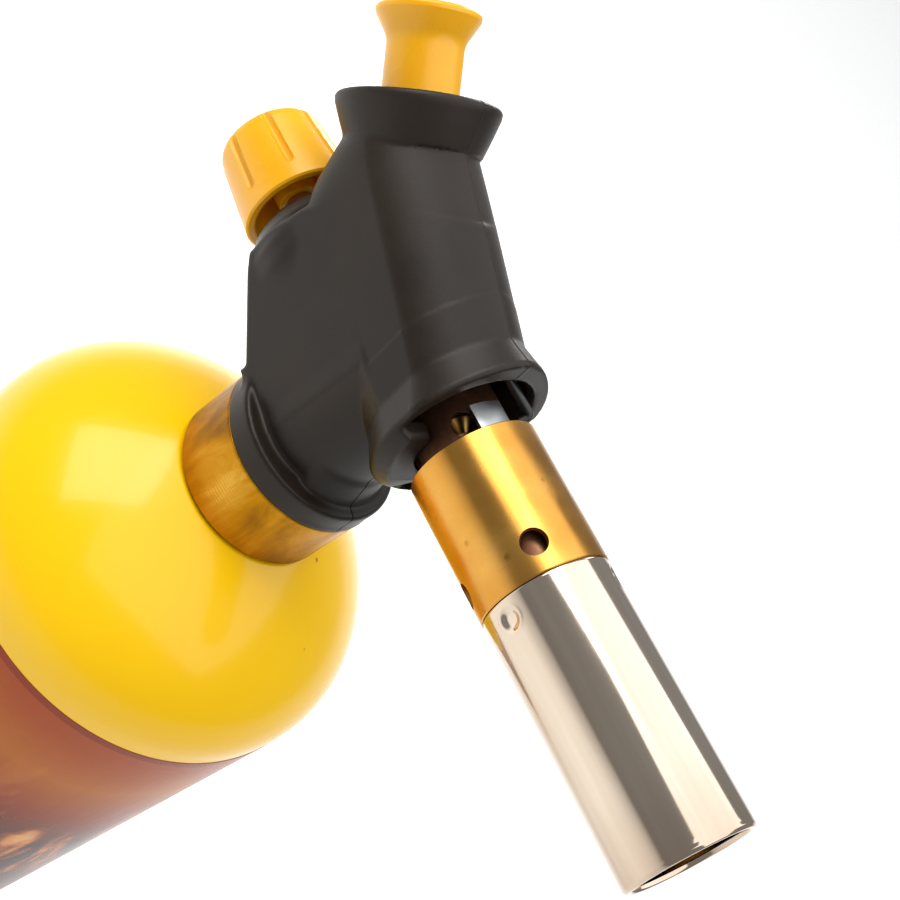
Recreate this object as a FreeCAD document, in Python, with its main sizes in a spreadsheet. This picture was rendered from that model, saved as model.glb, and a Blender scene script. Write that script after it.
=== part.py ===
"""Hand-held propane torch on its disposable fuel cylinder, in millimetres.

Frame: origin at the centre of the cylinder's base, +Z up the cylinder, +X towards the flame.
The torch is symmetric about the plane Y = 0, apart from its screws, its igniter lead and its dimples.
Four local frames share that plane, each with its own +Z: head (up the cylinder), burner (along the
flame), knob (out of the back) and button (out of the finger flange).
"""
import FreeCAD, Part
import math
import os
import re
import Sketcher

from FreeCAD import Placement, Rotation, Vector

doc = FreeCAD.newDocument("torch")
sheet = doc.addObject("Spreadsheet::Sheet", "Sizes")

SIZES = {
    # fuel cylinder, heights from its foot
    "tank_radius": 38.1,
    "shoulder_height": 236.0,
    "tank_wall": 0.8,
    "dome_height": 24.3,
    "dome_handle": 14.1,
    "dome_mouth": 14.8,
    "label_skin": 0.12,
    "label_bottom": 26.0,
    "label_drop": 2.6,
    "base_corner": 9.0,
    "base_overlap": 7.0,
    "foot_radius": 31.5,
    "foot_width": 3.0,
    "base_dish": 6.0,
    # threaded neck and self-closing valve, heights from the top of the dome
    "neck_radius": 12.6,
    "neck_height": 10.0,
    "neck_depth": 8.0,
    "thread_depth": 0.8,
    "thread_pitch": 1.27,
    "core_radius": 5.0,
    "core_length": 12.0,
    "core_sunk": 3.0,
    "chamber_radius": 3.4,
    "seat_depth": 3.0,
    "pin_radius": 1.2,
    "pin_sunk": 1.0,
    "pin_travel": 1.5,
    "poppet_radius": 2.7,
    "poppet_height": 1.0,
    "core_seal_height": 0.8,
    "retainer_height": 0.6,
    "relief_radius": 1.8,
    "relief_offset": 9.0,
    # brass cylinder nut, heights from its top, where the body's skirt starts
    "nut_radius": 14.8,
    "nut_height": 12.8,
    "nut_gap": 0.2,
    "nut_web": 3.0,
    "spigot_radius": 12.3,
    "spigot_height": 3.0,
    "thread_clearance": 0.15,
    "seal_outer": 11.4,
    "seal_inner": 8.0,
    "probe_radius": 2.3,
    "filter_height": 1.5,
    # valve block
    "block_radius": 8.4,
    "block_top": 31.0,
    "block_nose": 7.0,
    "filter_radius": 3.4,
    "gas_bore": 1.2,
    "arm_radius": 4.9,
    "arm_reach": 14.0,
    "gland_depth": 5.0,
    "stem_radius": 3.2,
    "seat_radius": 0.8,
    # valve stem and knob, in the knob's frame
    "knob_x": -33.27,
    "knob_z": 16.46,
    "knob_tilt": 8.07,
    "knob_length": 14.9,
    "knob_mouth_radius": 10.0,
    "knob_end_radius": 8.5,
    "knob_wall": 1.6,
    "knob_roof": 3.0,
    "knob_hub": 3.6,
    "knob_hub_sunk": 2.2,
    "shaft_radius": 2.2,
    "flute_radius": 0.75,
    "flute_count": 8,
    "flute_share": 0.7,
    "knob_screw_radius": 1.25,
    "knob_screw_head": 2.6,
    "gland_flats": 9.2,
    "gland_hex": 4.0,
    "ring_wire": 0.5,
    # burner, in the burner's frame, stations from the sleeve's back edge
    "burner_x": 17.15,
    "burner_z": 29.7,
    "burner_tilt": 8.74,
    "sleeve_radius": 9.85,
    "sleeve_wall": 1.0,
    "sleeve_length": 22.35,
    "air_hole": 2.0,
    "air_station": 18.0,
    "air_angle": 44.8,
    "flame_radius": 9.65,
    "flame_wall": 0.6,
    "flame_length": 39.7,
    "mouth_roll": 0.7,
    "dimple_radius": 1.85,
    "dimple_depth": 0.9,
    "dimple_station": 25.2,
    "dimple_angle": 93.4,
    "mixer_radius": 7.4,
    "mixer_wall": 0.8,
    "mixer_back": 12.0,
    "mixer_front": 24.0,
    "intake_station": 2.6,
    "holder_back": 20.6,
    "holder_front": 28.0,
    "holder_face": 2.0,
    "port_radius": 1.1,
    "port_ring": 5.2,
    "jet_radius": 3.2,
    "jet_length": 4.0,
    "orifice": 0.3,
    "jet_spigot": 2.6,
    "electrode_offset": 4.9,
    "electrode_angle": -45.0,
    "electrode_radius": 0.45,
    "ceramic_radius": 1.4,
    "ceramic_back": 1.0,
    "spark_reach": 33.0,
    "tab_angle": 16.0,
    "tab_width": 36.0,
    "tab_back": 4.4,
    "tab_front": 6.0,
    # igniter, in the button's frame, depths from the top of the finger flange
    "button_x": -34.76,
    "button_z": 43.97,
    "button_tilt": 145.33,
    "button_radius": 5.84,
    "button_out": 7.9,
    "button_head": 7.97,
    "button_top": 13.9,
    "button_bore": 4.25,
    "button_in": 11.0,
    "button_lip": 0.95,
    "lip_height": 1.4,
    "running_gap": 0.1,
    "case_depth": 26.0,
    "case_flange": 6.0,
    "case_flange_height": 4.0,
    "barrel_radius": 4.0,
    "barrel_bore": 3.2,
    "barrel_top": 4.0,
    "crystal_length": 6.0,
    "anvil_height": 1.2,
    "hammer_length": 4.5,
    "hammer_travel": 3.4,
    "touch_gap": 0.05,
    # body mouldings
    "body_half_width": 11.75,
    "body_wall": 2.0,
    "crown_height": 9.5,
    "skirt_height": 4.6,
    "parting_gap": 0.04,
    "rear_wall": 26.5,
    "flange_radius": 12.4,
    "flange_height": 5.9,
    "flange_neck": 9.9,
    "neck_flare": 25.0,
    "waist_depth": 17.0,
    "lip_station": -4.71,
    "lip_gap": 2.46,
    "lip_thickness": 1.6,
    "boss_radius": 12.2,
    "boss_sunk": 2.5,
    "screw_radius": 1.15,
    "screw_head": 2.1,
    "screw_boss": 2.1,
    "screw_head_height": 1.6,
    "lead_radius": 0.8,
    "lead_slack": 0.3,
}
for row, (alias, number) in enumerate(SIZES.items(), start=1):
    sheet.set("A%d" % row, alias)
    sheet.set("B%d" % row, str(number))
    sheet.setAlias("B%d" % row, alias)
doc.recompute()


def size(text):
    """The value of a sum written in the sheet's names."""
    return float(sheet.evalExpression(cells(text)))


def cells(text):
    """Names of the sheet's cells, made into references to that sheet."""
    return re.sub(r"[a-z][a-z_]*", lambda word: "Sizes." + word.group(0), text)


TANK_TOP = "shoulder_height + dome_height"
HEAD = "shoulder_height + dome_height + nut_gap + nut_height"


def frame(x, z, tilt):
    """Frame in the plane Y = 0 whose +Z points tilt degrees up from +X."""
    turn = Rotation(Vector(0, 1, 0), 90 - size(tilt))
    return Placement(Vector(size(x), 0, size(HEAD + " + " + z)), turn)


tank = Placement()
neck = Placement(Vector(0, 0, size(TANK_TOP)), Rotation())
head = Placement(Vector(0, 0, size(HEAD)), Rotation())
burner = frame("burner_x", "burner_z", "burner_tilt")
knob = frame("knob_x", "knob_z", "180 + knob_tilt")
button = frame("button_x", "button_z", "button_tilt")

nodes = {}


def keep(node, thing, place=None):
    """Name a finished piece for export and put it in its frame."""
    thing.Label = node
    if place is not None:
        thing.Placement = place.multiply(thing.Placement)
    nodes[node] = thing
    return thing


def origin_plane(body, role):
    return [item for item in body.Origin.OriginFeatures if item.Role == role][0]


def turned(name, outline):
    """Body turned about its own Z axis from corner points (radius, height), each bound to the sheet."""
    body = doc.addObject("PartDesign::Body", name + "_body")
    sketch = body.newObject("Sketcher::SketchObject", name + "_outline")
    sketch.AttachmentSupport = [(origin_plane(body, "XZ_Plane"), "")]
    sketch.MapMode = "FlatFace"
    corners = [Vector(size(r), size(z), 0) for r, z in outline]
    count = len(corners)
    for here, there in zip(corners, corners[1:] + corners[:1]):
        sketch.addGeometry(Part.LineSegment(here, there), False)
    for index in range(count):
        sketch.addConstraint(Sketcher.Constraint("Coincident", index, 2, (index + 1) % count, 1))
    for index, (r, z) in enumerate(outline):
        for kind, text in (("DistanceX", r), ("DistanceY", z)):
            rule = Sketcher.Constraint(kind, -1, 1, index, 1, size(text))
            number = sketch.addConstraint(rule)
            sketch.setExpression("Constraints[%d]" % number, cells(text))
    turn = body.newObject("PartDesign::Revolution", name + "_turn")
    turn.Profile = sketch
    turn.ReferenceAxis = (sketch, ["V_Axis"])
    turn.Angle = 360
    return body


def rod(name, radius, low, high, x="0", y="0"):
    """Round bar along local Z from low to high."""
    piece = doc.addObject("Part::Cylinder", name)
    piece.setExpression("Radius", cells(radius))
    piece.setExpression("Height", cells("%s - (%s)" % (high, low)))
    piece.Placement = Placement(Vector(size(x), size(y), size(low)), Rotation())
    return piece


def cut(name, base, *tools):
    for index, tool in enumerate(tools):
        piece = doc.addObject("Part::Cut", "%s_cut%d" % (name, index))
        piece.Base = base
        piece.Tool = tool
        base = piece
    return base


def shaped(name, shape):
    """Piece whose form is made by Part's own functions."""
    piece = doc.addObject("Part::Feature", name + "_form")
    piece.Shape = shape
    return piece


def lathe(points):
    """Solid of revolution about Z from corner points (radius, height)."""
    wire = Part.makePolygon([Vector(r, 0, z) for r, z in points + points[:1]])
    return Part.Face(wire).revolve(Vector(), Vector(0, 0, 1), 360)


def spoke(station, angle):
    """Frame at a station on local Z, its own Z pointing out at an angle from the top towards -Y."""
    turn = math.radians(angle)
    out = Vector(-math.cos(turn), -math.sin(turn), 0)
    return Placement(Vector(0, 0, station), Rotation(Vector(0, 0, 1), out))


def hole(name, radius, station, angle, reach):
    """Round cutter standing out radially from local Z."""
    tool = doc.addObject("Part::Cylinder", name)
    tool.setExpression("Radius", cells(radius))
    tool.setExpression("Height", cells(reach))
    tool.Placement = spoke(size(station), angle)
    return tool


def coil(low, high, radius, wire, turns):
    """Open round-wire spring standing between two heights on local Z."""
    bottom = low + wire
    rise = high - low - 2 * wire
    helix = Part.makeHelix(rise / turns, rise, radius)
    start = Part.Circle(Vector(radius, 0, 0), Vector(0, radius, rise / turns / math.tau), wire)
    sweep = Part.Wire(helix.Edges).makePipeShell([Part.Wire(start.toShape())], True, True)
    sweep.translate(Vector(0, 0, bottom))
    return sweep


def hexagon(flats, low, high):
    """Hexagonal bar along local Z, measured across its flats."""
    radius = flats / math.sqrt(3)
    ring = [Vector(radius * math.cos(k * math.pi / 3), radius * math.sin(k * math.pi / 3), low)
            for k in range(7)]
    return Part.Face(Part.makePolygon(ring)).extrude(Vector(0, 0, high - low))


# ---------------------------------------------------------------- fuel cylinder

def dome_curve(inset):
    """Shoulder of the cylinder, moved inwards by the wall when inset isn't zero."""
    radius = size("tank_radius") - inset
    low = size("shoulder_height")
    handle = size("dome_handle")
    mouth = size("dome_mouth")
    high = size(TANK_TOP) - inset
    poles = [Vector(radius, 0, low), Vector(radius, 0, low + handle), Vector(mouth, 0, high), Vector(mouth, 0, high)]
    curve = Part.BezierCurve()
    curve.setPoles(poles)
    return curve.toShape()


def tank_shell():
    """Drawn cup: straight wall, rounded shoulder and a flat ring that the neck is brazed into."""
    wall = size("tank_wall")
    outer = dome_curve(0)
    inner = dome_curve(wall)
    low = size("base_corner")
    bore = size("neck_radius")
    mouth = size("dome_mouth")
    top = size(TANK_TOP)
    radius = size("tank_radius")
    shoulder = size("shoulder_height")
    up = Part.makeLine(Vector(radius, 0, low), Vector(radius, 0, shoulder))
    rim = Part.makePolygon([Vector(mouth, 0, top), Vector(bore, 0, top), Vector(bore, 0, top - wall),
                            Vector(mouth, 0, top - wall)])
    down = Part.makePolygon([Vector(radius - wall, 0, shoulder), Vector(radius - wall, 0, low),
                             Vector(radius, 0, low)])
    wire = Part.Wire(Part.__sortEdges__(up.Edges + outer.Edges + rim.Edges + inner.Edges + down.Edges))
    return Part.Face(wire).revolve(Vector(), Vector(0, 0, 1), 360)


keep("tank_shell", shaped("tank_shell", tank_shell()), tank)

keep("tank_base", turned("tank_base", [
    ("0", "base_dish - tank_wall"),
    ("foot_radius - foot_width - base_dish", "base_dish - tank_wall"),
    ("foot_radius - foot_width", "0"),
    ("foot_radius + foot_width", "0"),
    ("tank_radius - tank_wall", "base_corner / 3"),
    ("tank_radius", "base_corner"),
    ("tank_radius - tank_wall", "base_corner"),
    ("tank_radius - tank_wall", "base_corner + base_overlap"),
    ("tank_radius - 2 * tank_wall", "base_corner + base_overlap"),
    ("tank_radius - 2 * tank_wall", "base_corner"),
    ("tank_radius - 2.5 * tank_wall", "base_corner / 2"),
    ("foot_radius + foot_width - tank_wall / 2", "1.5 * tank_wall"),
    ("foot_radius - foot_width + tank_wall / 2", "1.5 * tank_wall"),
    ("foot_radius - foot_width - base_dish + tank_wall / 2", "base_dish"),
    ("0", "base_dish"),
]), tank)

LABEL_TOP = "shoulder_height - label_drop"
keep("tank_label", cut("tank_label",
                       rod("label_outside", "tank_radius + label_skin", "label_bottom", LABEL_TOP),
                       rod("label_inside", "tank_radius", "label_bottom", LABEL_TOP)))


def neck_form():
    """Steel boss with an outside thread drawn as rings, bored for the valve core and the relief valve."""
    radius = size("neck_radius")
    root = radius - size("thread_depth")
    pitch = size("thread_pitch")
    top = size("neck_height")
    points = [(0, -size("neck_depth")), (radius, -size("neck_depth")), (radius, pitch)]
    turns = int((top - 2 * pitch) / pitch)
    for ridge in range(turns):
        low = (1 + ridge) * pitch
        points += [(root, low + pitch / 4), (root, low + pitch / 2), (radius, low + pitch * 0.75),
                   (radius, low + pitch)]
    points += [(radius, top - pitch / 2), (root, top), (0, top)]
    body = lathe(points)
    bore = Part.makeCylinder(size("core_radius"), size("neck_height + neck_depth"),
                             Vector(0, 0, -size("neck_depth")))
    relief = Part.makeCylinder(size("relief_radius"), size("neck_height + neck_depth"),
                               Vector(0, size("relief_offset"), -size("neck_depth")))
    return body.cut(bore).cut(relief)


keep("tank_neck", shaped("tank_neck", neck_form()), neck)

CORE_TOP = "neck_height - core_sunk"
SEAT = "neck_height - core_sunk - seat_depth"
RETAINER = "neck_height - core_sunk - core_length"
keep("core_body", turned("core_body", [
    ("pin_radius + 0.5", CORE_TOP),
    ("core_radius", CORE_TOP),
    ("core_radius", RETAINER),
    ("pin_radius + 0.5", RETAINER),
    ("pin_radius + 0.5", RETAINER + " + retainer_height"),
    ("chamber_radius", RETAINER + " + retainer_height"),
    ("chamber_radius", SEAT),
    ("pin_radius + 0.5", SEAT),
]), neck)

SEAL_TOP = SEAT + " - pin_travel - touch_gap"
POPPET_TOP = SEAL_TOP + " - core_seal_height"
POPPET_LOW = POPPET_TOP + " - poppet_height"
PIN_TOP = "neck_height - pin_sunk"
keep("core_pin", turned("core_pin", [
    ("0", PIN_TOP),
    ("pin_radius", PIN_TOP),
    ("pin_radius", POPPET_TOP),
    ("poppet_radius", POPPET_TOP),
    ("poppet_radius", POPPET_LOW),
    ("pin_radius", POPPET_LOW),
    ("pin_radius", POPPET_LOW + " - poppet_height"),
    ("0", POPPET_LOW + " - poppet_height"),
]), neck)
keep("core_seal", turned("core_seal", [
    ("pin_radius", POPPET_TOP),
    ("poppet_radius", POPPET_TOP),
    ("poppet_radius", SEAL_TOP),
    ("pin_radius", SEAL_TOP),
]), neck)

CORE_WIRE = 0.35
keep("core_spring", shaped("core_spring", coil(
    size(RETAINER + " + retainer_height"), size(POPPET_LOW), size("pin_radius + poppet_radius") / 2,
    CORE_WIRE, 3)), neck)

keep("relief_valve", turned("relief_valve", [
    ("0", "-neck_depth"),
    ("relief_radius", "-neck_depth"),
    ("relief_radius", "neck_height - thread_depth"),
    ("relief_radius / 2", "neck_height - thread_depth"),
    ("relief_radius / 2", "neck_height - 2 * thread_depth"),
    ("0", "neck_height - 2 * thread_depth"),
]), Placement(Vector(0, size("relief_offset"), size(TANK_TOP)), Rotation()))

# ---------------------------------------------------------------- cylinder nut and inlet

BORE = "neck_radius + thread_clearance"
WEB_LOW = "spigot_height - nut_web - 1"
keep("collar", turned("collar", [
    (BORE, "-nut_height"),
    ("nut_radius - 0.4", "-nut_height"),
    ("nut_radius", "0.4 - nut_height"),
    ("nut_radius", "0"),
    ("spigot_radius", "0"),
    ("spigot_radius", "spigot_height"),
    ("block_nose", "spigot_height"),
    ("block_nose", WEB_LOW),
    (BORE, WEB_LOW),
]), head)

NECK_TOP = "neck_height - nut_gap - nut_height"
keep("inlet_seal", turned("inlet_seal", [
    ("seal_inner", NECK_TOP + " + touch_gap"),
    ("seal_outer", NECK_TOP + " + touch_gap"),
    ("seal_outer", WEB_LOW),
    ("seal_inner", WEB_LOW),
]), head)

PROBE_TIP = NECK_TOP + " - pin_sunk + touch_gap"
FILTER_TOP = "spigot_height + 1"
FILTER_LOW = FILTER_TOP + " - filter_height"
probe_body = turned("inlet_probe", [
    ("0", PROBE_TIP),
    ("probe_radius - 0.5", PROBE_TIP),
    ("probe_radius", PROBE_TIP + " + 0.5"),
    ("probe_radius", WEB_LOW + " + 0.5"),
    ("filter_radius", WEB_LOW + " + 0.5"),
    ("filter_radius", FILTER_LOW),
    ("gas_bore / 1.5", FILTER_LOW),
    ("gas_bore / 1.5", PROBE_TIP + " + 1.6"),
    ("0", PROBE_TIP + " + 1.6"),
])
probe_slot = doc.addObject("Part::Cylinder", "probe_slot")
probe_slot.setExpression("Radius", cells("gas_bore / 2"))
probe_slot.setExpression("Height", cells("4 * probe_radius"))
probe_slot.Placement = Placement(Vector(-2 * size("probe_radius"), 0, size(PROBE_TIP) + 2.2),
                                 Rotation(Vector(0, 1, 0), 90))
keep("inlet_probe", cut("inlet_probe", probe_body, probe_slot), head)
keep("inlet_filter", rod("inlet_filter", "filter_radius", FILTER_LOW, FILTER_TOP), head)

# ---------------------------------------------------------------- valve block

head_inverse = head.inverse()
burner_here = head_inverse.multiply(burner)
knob_here = head_inverse.multiply(knob)
button_here = head_inverse.multiply(button)


def bar(place, radius, low, high):
    """Round bar along the +Z of a frame, from one station to another."""
    piece = Part.makeCylinder(radius, high - low, Vector(0, 0, low))
    piece.Placement = place
    return piece


def station_at(place, x):
    """Station along a frame's axis where it reaches a given X."""
    along = place.Rotation.multVec(Vector(0, 0, 1))
    return (x - place.Base.x) / along.x


BLOCK_TIP = -8.0
knob_cross = station_at(knob_here, 0)
gland_end = knob_cross - -size("arm_reach")
needle_stop = station_at(knob_here, 1.5)
riser_station = station_at(knob_here, 5.0)


def valve_block():
    """Brass block: upright body, arm towards the knob and a nose that the mixer tube slides on."""
    body = Part.makeCylinder(size("block_radius"), size("block_top - spigot_height"),
                             Vector(0, 0, size("spigot_height")))
    foot = Part.makeCylinder(size("block_nose"), size("spigot_height") - size(WEB_LOW) + 1,
                             Vector(0, 0, size(WEB_LOW)))
    arm = bar(knob_here, size("arm_radius"), knob_cross, gland_end)
    nose = bar(burner_here, size("mixer_radius - mixer_wall"), station_at(burner_here, 0), BLOCK_TIP)
    body = body.cut(bar(burner_here, size("mixer_radius"), -size("mixer_back"), BLOCK_TIP))
    solid = body.fuse([foot, arm, nose]).removeSplitter()
    bore = size("gas_bore")
    riser_foot = knob_here.multVec(Vector(0, 0, riser_station))
    riser_top = burner_here.multVec(Vector(0, 0, station_at(burner_here, riser_foot.x)))
    cutters = [
        Part.makeCylinder(size("filter_radius"), size(FILTER_TOP) - size(WEB_LOW), Vector(0, 0, size(WEB_LOW))),
        Part.makeCylinder(bore, knob_here.multVec(Vector(0, 0, knob_cross)).z),
        bar(knob_here, size("stem_radius") + size("running_gap") / 2, needle_stop, gland_end),
        bar(knob_here, size("arm_radius - 1"), gland_end - size("gland_depth"), gland_end),
        bar(knob_here, size("seat_radius"), riser_station, needle_stop),
        Part.makeCylinder(bore, riser_top.z - riser_foot.z, riser_foot),
        bar(burner_here, bore, station_at(burner_here, riser_foot.x), BLOCK_TIP),
        bar(burner_here, size("jet_spigot"), BLOCK_TIP - 4.0, BLOCK_TIP),
    ]
    for cutter in cutters:
        solid = solid.cut(cutter)
    return solid


keep("valve_block", shaped("valve_block", valve_block()), head)


def gland_nut():
    """Hexagonal nut whose spigot screws into the arm and holds the stem in."""
    neck_part = Part.makeCylinder(size("arm_radius - 1"), size("gland_depth"),
                                  Vector(0, 0, gland_end - size("gland_depth")))
    flange = hexagon(size("gland_flats"), gland_end, gland_end + size("gland_hex"))
    bore = Part.makeCylinder(size("shaft_radius") + size("running_gap") / 2,
                             size("gland_depth + gland_hex"),
                             Vector(0, 0, gland_end - size("gland_depth")))
    return neck_part.fuse(flange).removeSplitter().cut(bore)


keep("gland_nut", shaped("gland_nut", gland_nut()), knob)

# ---------------------------------------------------------------- valve stem and knob

KNOB_TOP = "knob_length"
HUB_LOW = "knob_hub_sunk"
STEM_BACK = gland_end - size("gland_depth") - 1.4
RING_PLACE = STEM_BACK - 1.2


def valve_stem():
    """Stem: needle, thread, groove for the ring, and the shaft out to the knob."""
    shaft = size("shaft_radius")
    thick = size("stem_radius")
    tip = needle_stop + size("touch_gap")
    seat = size("seat_radius")
    wire = size("ring_wire")
    end = size("knob_length - knob_roof")
    points = [(0, tip - 1.2), (seat * 0.6, tip - 1.2), (seat * 0.85, tip), (thick * 0.6, tip + 2.0),
              (thick * 0.6, tip + 3.0), (thick, tip + 3.4), (thick, RING_PLACE - wire * 1.2),
              (thick - 2 * wire, RING_PLACE - wire * 1.2), (thick - 2 * wire, RING_PLACE + wire * 1.2),
              (thick, RING_PLACE + wire * 1.2), (thick, STEM_BACK), (shaft, STEM_BACK), (shaft, end),
              (0, end)]
    body = lathe(points)
    tapped = Part.makeCylinder(size("knob_screw_radius"), 6.0, Vector(0, 0, end - 6.0))
    return body.cut(tapped)


keep("valve_stem", shaped("valve_stem", valve_stem()), knob)
ring_form = Part.makeTorus(size("stem_radius - ring_wire"), size("ring_wire"), Vector(0, 0, RING_PLACE))
keep("stem_ring", shaped("stem_ring", ring_form), knob)


def valve_knob():
    """Fluted cup: tapered wall, closed back, and a hub inside that grips the shaft."""
    mouth = size("knob_mouth_radius")
    end = size("knob_end_radius")
    top = size(KNOB_TOP)
    wall = size("knob_wall")
    roof = top - size("knob_roof")
    hub = size("knob_hub")
    shaft = size("shaft_radius")
    low = size(HUB_LOW)
    round_edge = 1.2
    points = [(mouth - wall, 0), (mouth, 0), (end + (mouth - end) * round_edge / top, top - round_edge),
              (end - round_edge, top), (size("knob_screw_head"), top), (size("knob_screw_head"), roof + 1.2),
              (size("knob_screw_radius"), roof + 1.2), (size("knob_screw_radius"), roof),
              (shaft, roof), (shaft, low), (hub, low), (hub, roof), (end - wall, roof)]
    body = lathe(points)
    count = int(size("flute_count"))
    lean = math.degrees(math.atan2(mouth - end, top))
    start = top * (1 - size("flute_share"))
    for index in range(count):
        groove = Part.makeCylinder(size("flute_radius"), top)
        ball = Part.makeSphere(size("flute_radius"))
        tool = groove.fuse(ball)
        rim = mouth + (end - mouth) * start / top
        turn = Rotation(Vector(0, 0, 1), index * 360.0 / count)
        tool.Placement = Placement(turn.multVec(Vector(rim, 0, start)), turn.multiply(
            Rotation(Vector(0, 1, 0), -lean)))
        body = body.cut(tool)
    return body


keep("valve_knob", shaped("valve_knob", valve_knob()), knob)
keep("knob_screw", turned("knob_screw", [
    ("0", "knob_length - knob_roof - 5"),
    ("knob_screw_radius", "knob_length - knob_roof - 5"),
    ("knob_screw_radius", "knob_length - knob_roof + 1.2"),
    ("knob_screw_head", "knob_length - knob_roof + 1.2"),
    ("knob_screw_head", "knob_length - 0.6"),
    ("0", "knob_length - 0.6"),
]), knob)

# ---------------------------------------------------------------- burner

MIXER_BORE = "mixer_radius - mixer_wall"
mixer_tube = turned("mixer_tube", [
    (MIXER_BORE, "-mixer_back"),
    ("mixer_radius", "-mixer_back"),
    ("mixer_radius", "mixer_front"),
    (MIXER_BORE, "mixer_front"),
])
intakes = [hole("intake%d" % k, "air_hole", "-intake_station", 45 + 90 * k, "mixer_radius + 1")
           for k in range(4)]
keep("mixer_tube", cut("mixer_tube", mixer_tube, *intakes), burner)

sleeve = turned("burner_sleeve", [
    ("sleeve_radius - sleeve_wall", "0"),
    ("sleeve_radius", "0"),
    ("sleeve_radius", "sleeve_length"),
    ("sleeve_radius - sleeve_wall", "sleeve_length"),
])
air_holes = [hole("air%d" % k, "air_hole", "air_station", size("air_angle") + 90 * k, "sleeve_radius + 1")
             for k in range(4)]
keep("burner_sleeve", cut("burner_sleeve", sleeve, *air_holes), burner)

DIMPLE_COUNT = 3


def dimple_places(radius):
    """Frames at which the flame tube is punched, a third of a turn apart, on a given radius."""
    places = []
    for index in range(DIMPLE_COUNT):
        angle = size("dimple_angle") + index * 360.0 / DIMPLE_COUNT
        spot = spoke(size("dimple_station"), angle)
        places.append(spot.multiply(Placement(Vector(0, 0, radius), Rotation())))
    return places


def dimple_ball(extra):
    """Radius and centre height of the ball whose cap is a dimple of the stated width and depth."""
    half = size("dimple_radius") + extra
    deep = size("dimple_depth") + extra
    ball = (half * half + deep * deep) / (2 * deep)
    return ball, ball - deep


def flame_tube():
    """Drawn steel tube with a rolled mouth, punched inwards by the dimples that hold it on."""
    outer = size("flame_radius")
    wall = size("flame_wall")
    low = size("sleeve_length") + 0.02
    top = size("sleeve_length + flame_length")
    roll = size("mouth_roll")
    body = lathe([(outer - wall, low), (outer, low), (outer, top - roll), (outer - roll / 2, top),
                  (outer - 2 * wall, top), (outer - 2 * wall, top - wall), (outer - wall, top - 2 * wall)])
    inside, inside_height = dimple_ball(wall * 0.6)
    outside, outside_height = dimple_ball(0)
    bore = Part.makeCylinder(outer - wall / 2, top - low, Vector(0, 0, low))
    for place in dimple_places(outer):
        bump = Part.makeSphere(inside, Vector(0, 0, inside_height))
        bump.Placement = place
        dent = Part.makeSphere(outside, Vector(0, 0, outside_height))
        dent.Placement = place
        body = body.fuse(bump.common(bore)).cut(dent)
    return body


keep("flame_tube", shaped("flame_tube", flame_tube()), burner)


def flame_holder():
    """Turned hub that joins sleeve, mixer tube and flame tube, with a ported face for the flame."""
    seat = size("mixer_radius")
    back = size("holder_back")
    joint = size("sleeve_length")
    front = size("holder_front")
    face = front - size("holder_face")
    groove_low = size("dimple_station - dimple_radius") - 0.3
    groove_high = size("dimple_station + dimple_radius") + 0.3
    outer = size("flame_radius - flame_wall")
    waist = outer - size("dimple_depth") - 0.4
    points = [(seat, back), (size("sleeve_radius - sleeve_wall"), back),
              (size("sleeve_radius - sleeve_wall"), joint), (outer, joint), (outer, groove_low),
              (waist, groove_low), (waist, groove_high), (outer, groove_high), (outer, front), (0, front),
              (0, face), (seat - 1.0, face), (seat - 1.0, size("mixer_front")), (seat, size("mixer_front"))]
    body = lathe(points)
    ring = size("port_ring")
    ports = 10
    for index in range(ports):
        angle = math.tau * (index + 0.5) / ports
        spot = Vector(ring * math.cos(angle), ring * math.sin(angle), face)
        body = body.cut(Part.makeCylinder(size("port_radius"), size("holder_face"), spot))
    body = body.cut(Part.makeCylinder(size("port_radius") * 1.6, size("holder_face"), Vector(0, 0, face)))
    wire = electrode_spot(face)
    return body.cut(Part.makeCylinder(size("ceramic_radius"), size("holder_face"), wire))


def electrode_spot(station, offset=None):
    """Point beside the burner axis on the side where the spark wire runs."""
    turn = math.radians(size("electrode_angle"))
    far = size("electrode_offset") if offset is None else offset
    return Vector(-far * math.cos(turn), -far * math.sin(turn), station)


keep("flame_holder", shaped("flame_holder", flame_holder()), burner)

jet_back = BLOCK_TIP - 3.0
jet_front = BLOCK_TIP + size("jet_length")


def gas_jet():
    """Brass orifice: spigot in the block, hexagon and a nose with the fine hole."""
    spigot = Part.makeCylinder(size("jet_spigot"), 3.0, Vector(0, 0, jet_back))
    head_part = hexagon(size("jet_radius") * math.sqrt(3), BLOCK_TIP, BLOCK_TIP + 2.0)
    nose = Part.makeCone(size("jet_radius") * 0.8, size("jet_radius") * 0.4, size("jet_length") - 2.0,
                         Vector(0, 0, BLOCK_TIP + 2.0))
    body = spigot.fuse([head_part, nose]).removeSplitter()
    body = body.cut(Part.makeCylinder(size("gas_bore"), 4.6, Vector(0, 0, jet_back)))
    return body.cut(Part.makeCylinder(size("orifice"), size("jet_length") + 3.0, Vector(0, 0, jet_back)))


keep("gas_jet", shaped("gas_jet", gas_jet()), burner)
keep("jet_filter", shaped("jet_filter", Part.makeCylinder(
    size("jet_spigot"), 1.0, Vector(0, 0, jet_back - 1.0))), burner)


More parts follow.
